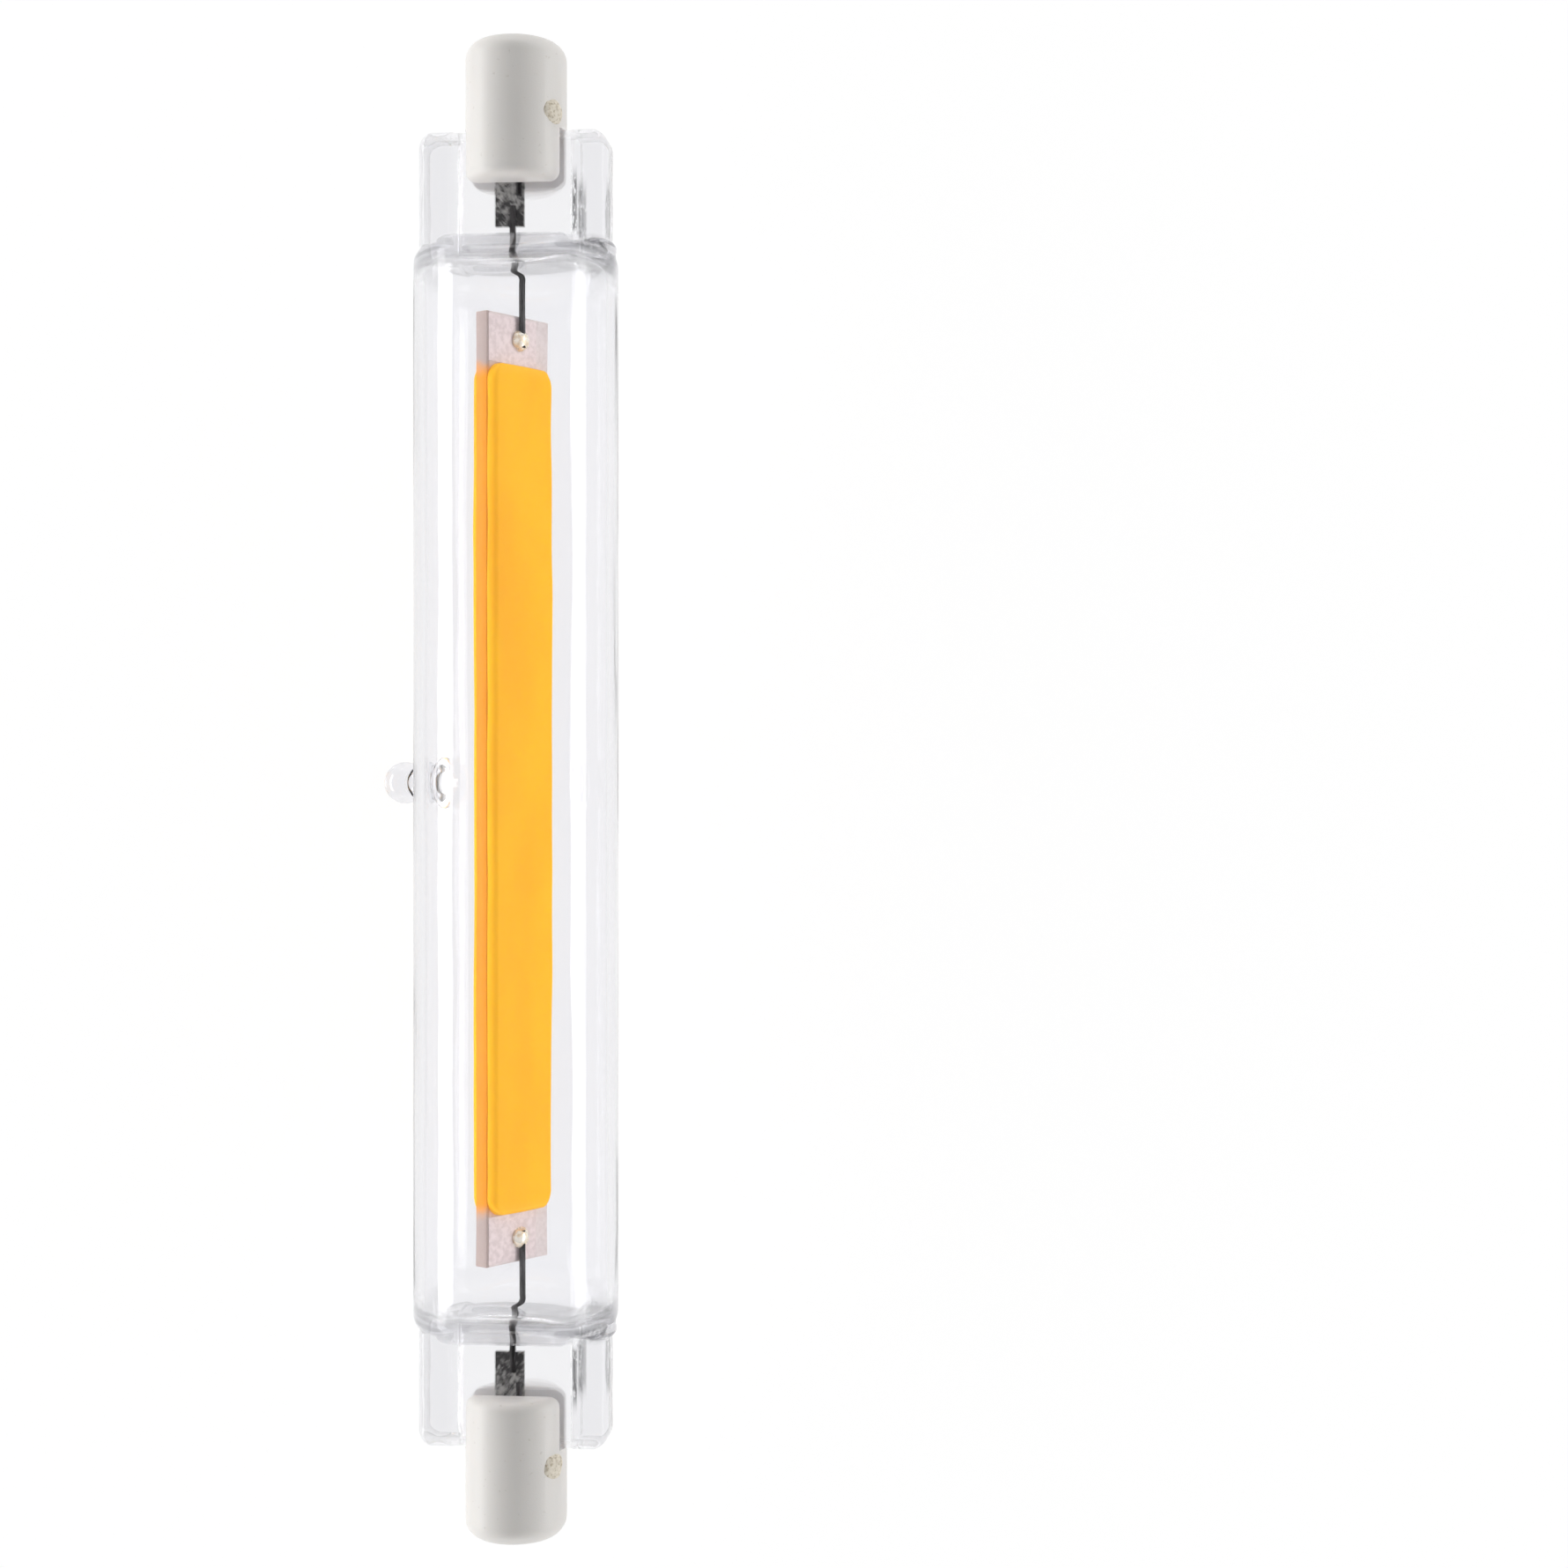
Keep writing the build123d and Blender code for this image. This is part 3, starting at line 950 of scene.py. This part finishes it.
    def _add_cavity(self, bm: bmesh.types.BMesh) -> None:
        """Add the inside of the tube, its faces turned into the hollow."""
        inner = self.radius - self.wall
        top = self.layout.tube_end - self.layout.end_wall
        bend = self.shoulder - self.wall / 2
        low, steps = top - bend - 3, self.long_steps
        side = [(inner, low * i / steps) for i in range(steps)]
        side += [(inner, low + 3 * i / self.bend_steps) for i in range(self.bend_steps)]
        bow = arc((inner - bend, top - bend), bend, 0, 90, 9)
        flat = inner - bend
        crown = [(flat * (1 - i / 10), top + 0.12 * sin(i * pi / 20)) for i in range(1, 11)]
        half = side + bow + crown
        profile = [(radius, -height) for radius, height in reversed(half[1:])] + half
        layout = self.layout
        place = axes_to(layout.seal_across, -layout.seal_front, layout.along, Vector())
        hollow = turned(profile, self.segments, place)
        for vert in hollow.verts:
            front = vert.co.dot(self.layout.seal_front)
            slope = self.press_slope - self.wall - 0.2
            end = top + self.press_spare + 0.1
            pressed = self._pressed(front, abs(vert.co.y), (0.0, inner), end, slope)
            vert.co += self.layout.seal_front * (pressed - front)
            out = Vector((vert.co.x, 0, vert.co.z))
            wave = noise.noise(Vector((vert.co.x * 0.25, vert.co.y * 0.09, vert.co.z * 0.25)))
            if out.length > 1e-4:
                vert.co += out.normalized() * (self.wave_depth * wave)
        bmesh.ops.reverse_faces(hollow, faces=hollow.faces)
        mesh = bpy.data.meshes.new("hollow")
        hollow.to_mesh(mesh)
        hollow.free()
        bm.from_mesh(mesh)
        bpy.data.meshes.remove(mesh)

    def _tip_axes(self) -> Matrix:
        """Axes of the tip: Z outwards, down to where its ball touches the floor."""
        turn = asin((self.rest_height - self.ball_radius) / (self.tip_reach - self.ball_radius))
        out = Vector((-cos(turn), 0, -sin(turn)))
        along = self.layout.along
        return axes_to(along.cross(out), along, out, along * self.tip_offset)

    def _tip_profile(self) -> list[tuple[float, float]]:
        """Outline of the tip, from its root in the wall to the end of its ball."""
        neck = self.radius + self.neck_height
        ball = self.tip_reach - self.ball_radius
        start = self.radius - self.wall * 0.8
        flare = []
        for i in range(13):
            share = i / 12
            spread = (self.root_radius - self.neck_radius) * (1 - share) ** 2.4
            height = self.root_height + (neck - self.root_height) * share
            flare.append((self.neck_radius + spread, height))
        waist = -degrees_of(sqrt(self.ball_radius**2 - self.neck_radius**2), self.neck_radius)
        rounded = arc((0, ball), self.ball_radius, waist, 90, 20)
        return [(0.0, start), (self.root_radius * 0.8, start)] + flare + rounded[1:]

    def _bore_profile(self) -> list[tuple[float, float]]:
        """Outline of what is left of the exhaust bore, drawn to a point in the ball."""
        start = self.radius - self.wall - 0.9
        turns = [i * pi / 16 for i in range(9)]
        drawn = [(self.bore_radius * cos(turn), self.bore_end + 1.2 * sin(turn)) for turn in turns]
        return [(0.0, start), (self.bore_radius, start)] + drawn[:-1] + [(0.0, drawn[-1][1])]


@dataclass
class PhosphorBead:
    """A bead of phosphor gel on one face of the substrate, a little uneven as it was laid."""

    layout: Layout
    finish: PhosphorGel
    side: int
    height: float
    length: float = 66.8
    width: float = 6.75
    corner: float = 1.5
    crown: float = 0.2
    shoulder: float = 0.35

    def build(self, node: str) -> None:
        """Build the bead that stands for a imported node."""
        bm = bmesh.new()
        bmesh.ops.create_grid(bm, x_segments=28, y_segments=240, size=1.0)
        for vert in bm.verts:
            vert.co = self._shape(vert.co.x, vert.co.y)
        rim = [edge for edge in bm.edges if edge.is_boundary]
        bmesh.ops.contextual_create(bm, geom=rim)
        close_up(bm)
        place_at(bm, self.layout.board_axes(self.side))
        piece = to_object(bm, f"gel_{'front' if self.side > 0 else 'rear'}", sharp=60)
        seat(piece, self.finish, node)

    def _shape(self, across: float, along: float) -> Vector:
        """The place of a grid vertex, whose coordinates run from -1 to 1."""
        half_length = self.length / 2
        place = half_length * (0.55 * along + 0.45 * sin(along * pi / 2))
        past = max(0.0, abs(place) - (half_length - self.corner))
        half = self.width / 2 - self.corner + sqrt(max(0.0, self.corner**2 - past**2))
        uneven = noise.noise(Vector((place * 0.22, 7.0 if across > 0 else 3.0, self.side)))
        half += 0.035 * uneven - 0.03
        offset = half * sin(across * pi / 2)
        inside = min(half - abs(offset), (half_length - abs(place)) * 1.2)
        rise = min(1.0, max(0.0, inside) / self.shoulder)
        lift = (self.height - self.crown) * sqrt(1 - (1 - rise) ** 2)
        wave = 0.025 * noise.noise(Vector((place * 0.35, offset * 0.4, 11.0)))
        top = self.crown * (1 - (offset / half) ** 2) + wave
        return Vector((offset, place, lift + top * rise))


@dataclass
class Substrate:
    """The ceramic strip, and the solder that holds the inner leads on its printed pads."""

    layout: Layout
    finish: SubstrateCeramic
    length: float = 74.6
    width: float = 6.8
    edge: float = 0.06
    solder_radius: float = 0.9
    solder_height: float = 0.65
    pad: float = 0.05

    def build(self) -> None:
        """Build the strip."""
        thick = self.layout.board_thickness
        bm = bmesh.new()
        bmesh.ops.create_cube(bm, size=1.0)
        bmesh.ops.scale(bm, vec=(self.width, self.length, thick), verts=bm.verts)
        long = [edge for edge in bm.edges if edge.calc_length() > self.width + 1]
        bmesh.ops.subdivide_edges(bm, edges=long, cuts=40)
        corners = [edge for edge in bm.edges if edge.calc_face_angle(0.0) > 1.0]
        bmesh.ops.bevel(
            bm, geom=corners, offset=self.edge, segments=2, profile=0.5, affect="EDGES", material=-1
        )
        place = self.layout.board_axes(1) @ Matrix.Translation((0, 0, -thick / 2))
        place_at(bm, place)
        seat(to_object(bm, "substrate", sharp=35), self.finish, "led_substrate")

    def solder(self, side: Side, finish: Finish) -> None:
        """Build one end's solder joint, a slumped blob drawn up the end of the lead."""
        bm = bmesh.new()
        bmesh.ops.create_icosphere(bm, subdivisions=4, radius=1.0)
        for vert in bm.verts:
            low = max(0.0, -vert.co.z)
            ripple = 0.10 * noise.noise(vert.co * 1.6 + Vector((0, side.value * 3.0, 0)))
            skirt = 1.0 + ripple - 0.12 * (1 - abs(vert.co.z))
            spread = self.solder_radius * skirt * (1.0 + 0.12 * low)
            vert.co.x *= spread
            vert.co.y *= spread
            vert.co.z = self.solder_height * max(0.0, vert.co.z + ripple * 0.4) * 0.98
        close_up(bm, 0.00001)
        layout = self.layout
        origin = layout.board_point(layout.landing, self.pad, side.value * layout.solder_place)
        place = axes_to(layout.board_across, layout.along, layout.board_front, origin)
        place_at(bm, place)
        piece = to_object(bm, f"{side.prefix}_solder", sharp=80)
        seat(piece, finish, f"{side.prefix}_solder_joint")


@dataclass
class SealLeads:
    """What is pressed into one seal: the foil and the two leads welded on it."""

    layout: Layout
    side: Side
    diameter: float = 0.5
    foil_start: float = 44.5
    foil_length: float = 5.6
    foil_width: float = 2.35
    foil_thickness: float = 0.1
    foil_across: float = -0.5
    weld: float = 1.6
    inner_across: float = -0.2
    jog: float = 1.4
    outer_across: float = 0.3
    overlap: float = 0.6
    landing_front: float = 0.35
    uneven: float = 0.012

    def _mirrored(self, point: Vector) -> Vector:
        """The point at this end of the lamp."""
        return Vector((point.x, point.y * self.side.value, point.z))

    def _wire(self, name: str, points: Sequence[Vector]) -> bpy.types.Object:
        """A round wire along a smooth line through the points."""
        line = bpy.data.curves.new(name, "CURVE")
        line.dimensions = "3D"
        line.bevel_depth = self.diameter / 2 * MM
        line.bevel_resolution = 5
        line.use_fill_caps = True
        line.resolution_u = 10
        spline = line.splines.new("BEZIER")
        spline.bezier_points.add(len(points) - 1)
        for knot, point in zip(spline.bezier_points, points):
            knot.co = self._mirrored(point) * MM
            knot.handle_left_type = "AUTO"
            knot.handle_right_type = "AUTO"
        shaped = bpy.data.objects.new(name, line)
        bpy.context.scene.collection.objects.link(shaped)
        graph = bpy.context.evaluated_depsgraph_get()
        mesh = bpy.data.meshes.new_from_object(shaped.evaluated_get(graph))
        bpy.data.objects.remove(shaped)
        bm = bmesh.new()
        bm.from_mesh(mesh)
        bpy.data.meshes.remove(mesh)
        bmesh.ops.scale(bm, vec=(1 / MM, 1 / MM, 1 / MM), verts=bm.verts)
        close_up(bm, 0.001)
        return to_object(bm, name, sharp=50)

    def _lead_points(self, across: float, heights: Sequence[float]) -> list[Vector]:
        """Points of a lead that lies on the foil."""
        front = (self.foil_thickness + self.diameter) / 2
        return [self.layout.seal_point(across, front, height) for height in heights]

    def inner_lead(self, finish: Finish) -> None:
        """Build the lead from the foil to the solder joint."""
        first = self.foil_start + self.weld
        cavity_end = self.layout.tube_end - self.layout.end_wall
        points = self._lead_points(
            self.inner_across, (first, (first + cavity_end) / 2, cavity_end)
        )
        landed = cavity_end - self.jog
        points += [
            self.layout.board_point(self.layout.landing, self.landing_front, height)
            for height in (landed, landed - 0.5, self.layout.solder_place - self.overlap)
        ]
        piece = self._wire(f"{self.side.prefix}_inner_wire", points)
        seat(piece, finish, f"{self.side.prefix}_inner_lead")

    def outer_lead(self, finish: Finish) -> None:
        """Build the lead from the foil to the contact."""
        start = self.foil_start + self.foil_length - 2 * self.weld
        middle = (start + self.layout.contact_root) / 2
        points = self._lead_points(self.outer_across, (start, middle, self.layout.contact_root))
        piece = self._wire(f"{self.side.prefix}_outer_wire", points)
        seat(piece, finish, f"{self.side.prefix}_outer_lead")

    def foil(self, finish: Finish) -> None:
        """Build the foil: a thin strip, slightly creased and with worn edges."""
        bm = bmesh.new()
        bmesh.ops.create_grid(bm, x_segments=24, y_segments=56, size=0.5)
        for vert in bm.verts:
            along = self.foil_start + self.foil_length * (vert.co.y + 0.5)
            worn = noise.noise(Vector((5.0 if vert.co.x > 0 else 1.0, along * 2.5, 0)))
            across = self.foil_across + self.foil_width * vert.co.x * (1 + self.uneven * worn)
            crease = self.uneven * noise.noise(Vector((across * 1.4, along * 1.1, 4.0)))
            front = -self.foil_thickness / 2 + crease
            vert.co = self._mirrored(self.layout.seal_point(across, front, along))
        bmesh.ops.recalc_face_normals(bm, faces=bm.faces)
        up = self.layout.seal_front
        if sum(face.normal.dot(up) for face in bm.faces) > 0:
            bmesh.ops.reverse_faces(bm, faces=bm.faces)
        whole = bm.faces[:] + bm.edges[:] + bm.verts[:]
        bmesh.ops.solidify(bm, geom=whole, thickness=-self.foil_thickness * 0.9)
        close_up(bm, 0.00001)
        piece = to_object(bm, f"{self.side.prefix}_foil_strip", sharp=45)
        seat(piece, finish, f"{self.side.prefix}_foil")


@dataclass
class EndCap:
    """One ceramic cap with its cement and its sunk contact."""

    layout: Layout
    side: Side
    radius: float = 4.0
    length: float = 11.3
    end_round: float = 1.5
    rim_round: float = 0.8
    slot_half: float = 1.45
    slot_floor: float = 51.95
    recess_radius: float = 1.85
    recess_depth: float = 1.9
    chamber_radius: float = 1.45
    chamber_floor: float = 51.9
    hole_place: float = 53.0
    hole_radius: float = 0.95
    hole_floor: float = 0.6
    sharp: float = 50
    seal_end: float = 51.7
    fit: float = 0.05
    proud: float = 0.32
    overflow: float = 0.2
    sunk: float = 0.35

    def _axes(self) -> Matrix:
        """Axes of the cap: Z out of this end of the lamp."""
        along = self.layout.along * self.side.value
        across = self.layout.seal_across
        return axes_to(across, along.cross(across), along, Vector())

    def _hole_axes(self) -> Matrix:
        """Axes of the filling hole: Z outwards."""
        out = self.layout.hole_out
        place = self.layout.along * (self.side.value * self.hole_place)
        return axes_to(self.layout.along.cross(out), self.layout.along, out, place)

    def ceramic(self, finish: Finish) -> None:
        """Build the ceramic body."""
        top = self.layout.cap_end
        low = top - self.length
        face = top - self.recess_depth
        mouth = 0.15
        side = arc((self.radius - self.rim_round, low + self.rim_round), self.rim_round, -90, 0, 8)
        side += arc((self.radius - self.end_round, top - self.end_round), self.end_round, 0, 90, 14)
        bore = arc((self.recess_radius + mouth, top - mouth), mouth, 90, 180, 4)
        floor = self.chamber_floor
        chamber = self.chamber_radius
        bore += [(self.recess_radius, face), (chamber, face), (chamber, floor)]
        profile = [(0.0, low)] + side + bore + [(0.0, floor)]
        name = f"{self.side.prefix}_cap_body"
        piece = to_object(turned(profile, 128, self._axes()), name)
        slot = bmesh.new()
        bmesh.ops.create_cube(slot, size=1.0)
        depth = self.slot_floor - low + 1.0
        bmesh.ops.scale(slot, vec=(self.radius * 3, self.slot_half * 2, depth), verts=slot.verts)
        bmesh.ops.translate(slot, vec=(0, 0, self.slot_floor - depth / 2), verts=slot.verts)
        place_at(slot, self._axes())
        combine(piece, to_object(slot, "slot"), "DIFFERENCE")
        start, stop = self.hole_floor, self.radius + 2.0
        drill = [(0, start), (self.hole_radius, start), (self.hole_radius, stop), (0, stop)]
        combine(piece, to_object(turned(drill, 48, self._hole_axes()), "drill"), "DIFFERENCE")
        soften = piece.modifiers.new("soften", "BEVEL")
        soften.width = 0.12 * MM
        soften.segments = 3
        soften.limit_method = "ANGLE"
        soften.angle_limit = radians(40)
        settle(piece)
        smooth(piece.data, self.sharp)
        seat(piece, finish, f"{self.side.prefix}_ceramic_cap")

    def cement(self, finish: Finish) -> None:
        """Build the cement: what fills the chamber, and the lump in the filling hole."""
        inside = self.chamber_radius - self.fit
        low, top = self.seal_end, self.layout.contact_root
        profile = [(0.0, low), (inside, low), (inside, top), (0.0, top)]
        piece = to_object(turned(profile, 64, self._axes()), f"{self.side.prefix}_cement_fill")
        reach = self.hole_radius - self.fit
        spill = self.hole_radius + self.overflow
        foot = self.radius - self.sunk
        rise = self.proud + self.sunk
        turns = [i * pi / 20 for i in range(11)]
        dome = [(spill * cos(turn), foot + rise * sin(turn)) for turn in turns]
        outline = [(0.0, self.hole_floor), (reach, self.hole_floor), (reach, foot)]
        outline += dome[:-1] + [(0.0, dome[-1][1])]
        plug = turned(outline, 56, self._hole_axes())
        for vert in plug.verts:
            if vert.co.dot(self.layout.hole_out) > foot - 0.01:
                vert.co += self.layout.hole_out * (0.12 * noise.noise(vert.co * 1.7) - 0.04)
        combine(piece, to_object(plug, "plug"), "UNION")
        smooth(piece.data, self.sharp)
        seat(piece, finish, f"{self.side.prefix}_cement")

    def contact(self, finish: Finish) -> None:
        """Build the contact, a plug with a slightly crowned face."""
        face = self.layout.cap_end - self.recess_depth
        reach = self.chamber_radius - self.fit
        rim = arc((reach - 0.12, face - 0.16), 0.12, 0, 90, 4)
        profile = [(0.0, self.layout.contact_root), (reach, self.layout.contact_root)] + rim
        profile += [(reach * 0.6, face - 0.015), (0.0, face)]
        piece = to_object(turned(profile, 64, self._axes()), f"{self.side.prefix}_contact_plug")
        seat(piece, finish, f"{self.side.prefix}_contact")


@dataclass
class Studio:
    """Floor, light and camera."""

    floor_height: float = -8.1
    floor_glow: float = 1.14
    floor_share: float = 0.8
    sensor: float = 36.0
    eye: Triple = (21.2, 0.4, 190.0)
    view_width: float = 124.2

    def floor(self) -> None:
        """Lay the white floor, which keeps a soft share of the lamp's shadow."""
        bm = bmesh.new()
        bmesh.ops.create_grid(bm, x_segments=1, y_segments=1, size=3000)
        bmesh.ops.translate(bm, vec=(0, 0, self.floor_height - 0.02), verts=bm.verts)
        ground = to_object(bm, "floor")
        material = bpy.data.materials.new("floor_white")
        material.use_nodes = True
        tree = Tree(material.node_tree)
        matt = tree.node("ShaderNodeBsdfDiffuse", values={"Color": (0.8, 0.8, 0.8, 1)})
        glow = {"Color": (1, 1, 1, 1), "Strength": self.floor_glow}
        white = tree.node("ShaderNodeEmission", values=glow)
        seen = tree.node("ShaderNodeLightPath", output="Is Camera Ray")
        for ray in ("Is Glossy Ray", "Is Transmission Ray"):
            seen = seen.larger(tree.node("ShaderNodeLightPath", output=ray))
        mixed = {0: seen * self.floor_share, 1: matt, 2: white}
        shader = tree.node("ShaderNodeMixShader", values=mixed)
        tree.node("ShaderNodeOutputMaterial", values={"Surface": shader})
        ground.data.materials.append(material)

    def world(self) -> None:
        """Light the sky: bright round the horizon, dimmer and cooler overhead."""
        world = bpy.data.worlds.new("studio")
        world.use_nodes = True
        bpy.context.scene.world = world
        tree = Tree(world.node_tree)
        place = tree.node("ShaderNodeTexCoord", output="Generated")
        up = tree.node("ShaderNodeSeparateXYZ", values={0: place}, output="Z")
        stops = [
            (0.0, (1.0, 1.0, 1.0)),
            (0.10, (0.9, 0.9, 0.9)),
            (0.35, (0.42, 0.42, 0.42)),
            (1.0, (0.33, 0.33, 0.33)),
        ]
        tone = tree.node("ShaderNodeValToRGB", {"stops": stops}, {0: up})
        through = tree.node("ShaderNodeLightPath", output="Is Transmission Ray")
        tone = tree.blend(through, tone, (0.9, 0.9, 0.92))
        sky = tree.node("ShaderNodeBackground", values={"Color": tone, "Strength": 1.0})
        tree.node("ShaderNodeOutputWorld", values={"Surface": sky})

    @staticmethod
    def lamp(name: str, place: Triple, size: tuple[float, float], power: float) -> None:
        """Set a soft lamp that faces the object.

        Args:
            name: its name.
            place: where it stands, in millimetres.
            size: its width and height, in millimetres.
            power: in watts.
        """
        light = bpy.data.lights.new(name, "AREA")
        light.shape = "RECTANGLE"
        light.size = size[0] * MM
        light.size_y = size[1] * MM
        light.energy = power
        stand = bpy.data.objects.new(name, light)
        stand.location = Vector(place) * MM
        stand.rotation_euler = Vector(place).to_track_quat("Z", "Y").to_euler()
        bpy.context.scene.collection.objects.link(stand)

    def camera(self) -> None:
        """Look straight down, with the lamp left of the middle as in the photograph."""
        lens = bpy.data.cameras.new("camera")
        lens.sensor_width = self.sensor
        lens.lens = self.sensor * self.eye[2] / self.view_width
        lens.clip_start = 0.01
        lens.clip_end = 20.0
        eye = bpy.data.objects.new("camera", lens)
        eye.location = Vector(self.eye) * MM
        bpy.context.scene.collection.objects.link(eye)
        bpy.context.scene.camera = eye

    def build(self) -> None:
        """Set up the whole studio."""
        bpy.context.scene.view_settings.view_transform = "Standard"
        self.floor()
        self.world()
        self.lamp("left_softbox", (-420, 0, 55), (560, 110), 1.25)
        self.lamp("right_softbox", (420, 0, 55), (560, 110), 0.65)
        self.lamp("far_softbox", (0, 420, 55), (260, 110), 0.3)
        self.lamp("near_softbox", (0, -420, 55), (260, 110), 0.3)
        self.camera()


def build_lamp() -> None:
    """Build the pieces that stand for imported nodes."""
    layout = Layout()
    glass = ClearGlass(
        "clear_glass_drawn", "clear_glass", (0.965, 0.965, 0.975), across=tuple(layout.seal_across)
    )
    ceramic = GlazedCeramic("cap_ceramic_fired", "cap_ceramic", srgb(240, 237, 233))
    gel = PhosphorGel("phosphor_gel_skin", "phosphor_gel", srgb(248, 184, 0))
    strip = SubstrateCeramic(
        "substrate_ceramic_pale",
        "substrate_ceramic",
        srgb(226, 214, 211),
        across=tuple(layout.board_across),
    )
    solder = WorkedMetal(
        "solder_bright",
        "solder",
        srgb(250, 244, 230),
        dull=srgb(225, 205, 175),
        roughness=0.22,
        metallic=0.5,
    )
    wire = WorkedMetal(
        "lead_drawn", "lead_wire", srgb(78, 76, 76), dull=srgb(38, 36, 36), stretch=8.0
    )
    foil = MottledFoil(
        "foil_painted_highlights", "molybdenum_foil", srgb(206, 204, 200), dull=srgb(70, 68, 68), metallic=0.5
    )
    paste = GrittyPaste("cement_cream", "cap_cement", srgb(244, 236, 220))
    nickel = WorkedMetal(
        "contact_nickel", "nickel", srgb(214, 208, 196), dull=srgb(190, 182, 168), roughness=0.25
    )

    GlassEnvelope(layout, glass).build()
    PhosphorBead(layout, gel, 1, 0.95).build("phosphor_front")
    PhosphorBead(layout, gel, -1, 0.75).build("phosphor_rear")
    board = Substrate(layout, strip)
    board.build()
    for side in Side:
        board.solder(side, solder)
        leads = SealLeads(layout, side)
        leads.inner_lead(wire)
        leads.outer_lead(wire)
        leads.foil(foil)
        cap = EndCap(layout, side)
        cap.ceramic(ceramic)
        cap.cement(paste)
        cap.contact(nickel)


def dress_packed() -> None:
    """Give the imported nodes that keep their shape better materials."""
    silver = WorkedMetal(
        "printed_silver_matt",
        "printed_silver",
        srgb(225, 210, 208),
        dull=srgb(215, 200, 198),
        roughness=0.5,
        metallic=0.3,
        depth=0.000004,
    )
    die = WorkedMetal(
        "die_polished", "led_die", srgb(150, 165, 190), dull=srgb(120, 140, 170), metallic=0.2
    )
    chip = WorkedMetal(
        "chip_moulded", "driver_chip", srgb(50, 50, 52), dull=srgb(38, 38, 40), metallic=0.0
    )
    dressed = {
        silver: ("upper_terminal_pad", "lower_terminal_pad", "conductor_tracks"),
        die: ("led_dies_front", "led_dies_rear"),
        chip: ("current_driver_dies", "rectifier_bridge"),
    }
    for finish, names in dressed.items():
        for name in names:
            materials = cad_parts[name].data.materials
            materials.clear()
            materials.append(finish.material)
            log.info("%s: dressed", name)


def main() -> None:
    logging.basicConfig(level=logging.INFO, format="%(name)s %(message)s")
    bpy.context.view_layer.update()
    Studio().build()
    build_lamp()
    dress_packed()


if __name__ == "__main__":
    main()
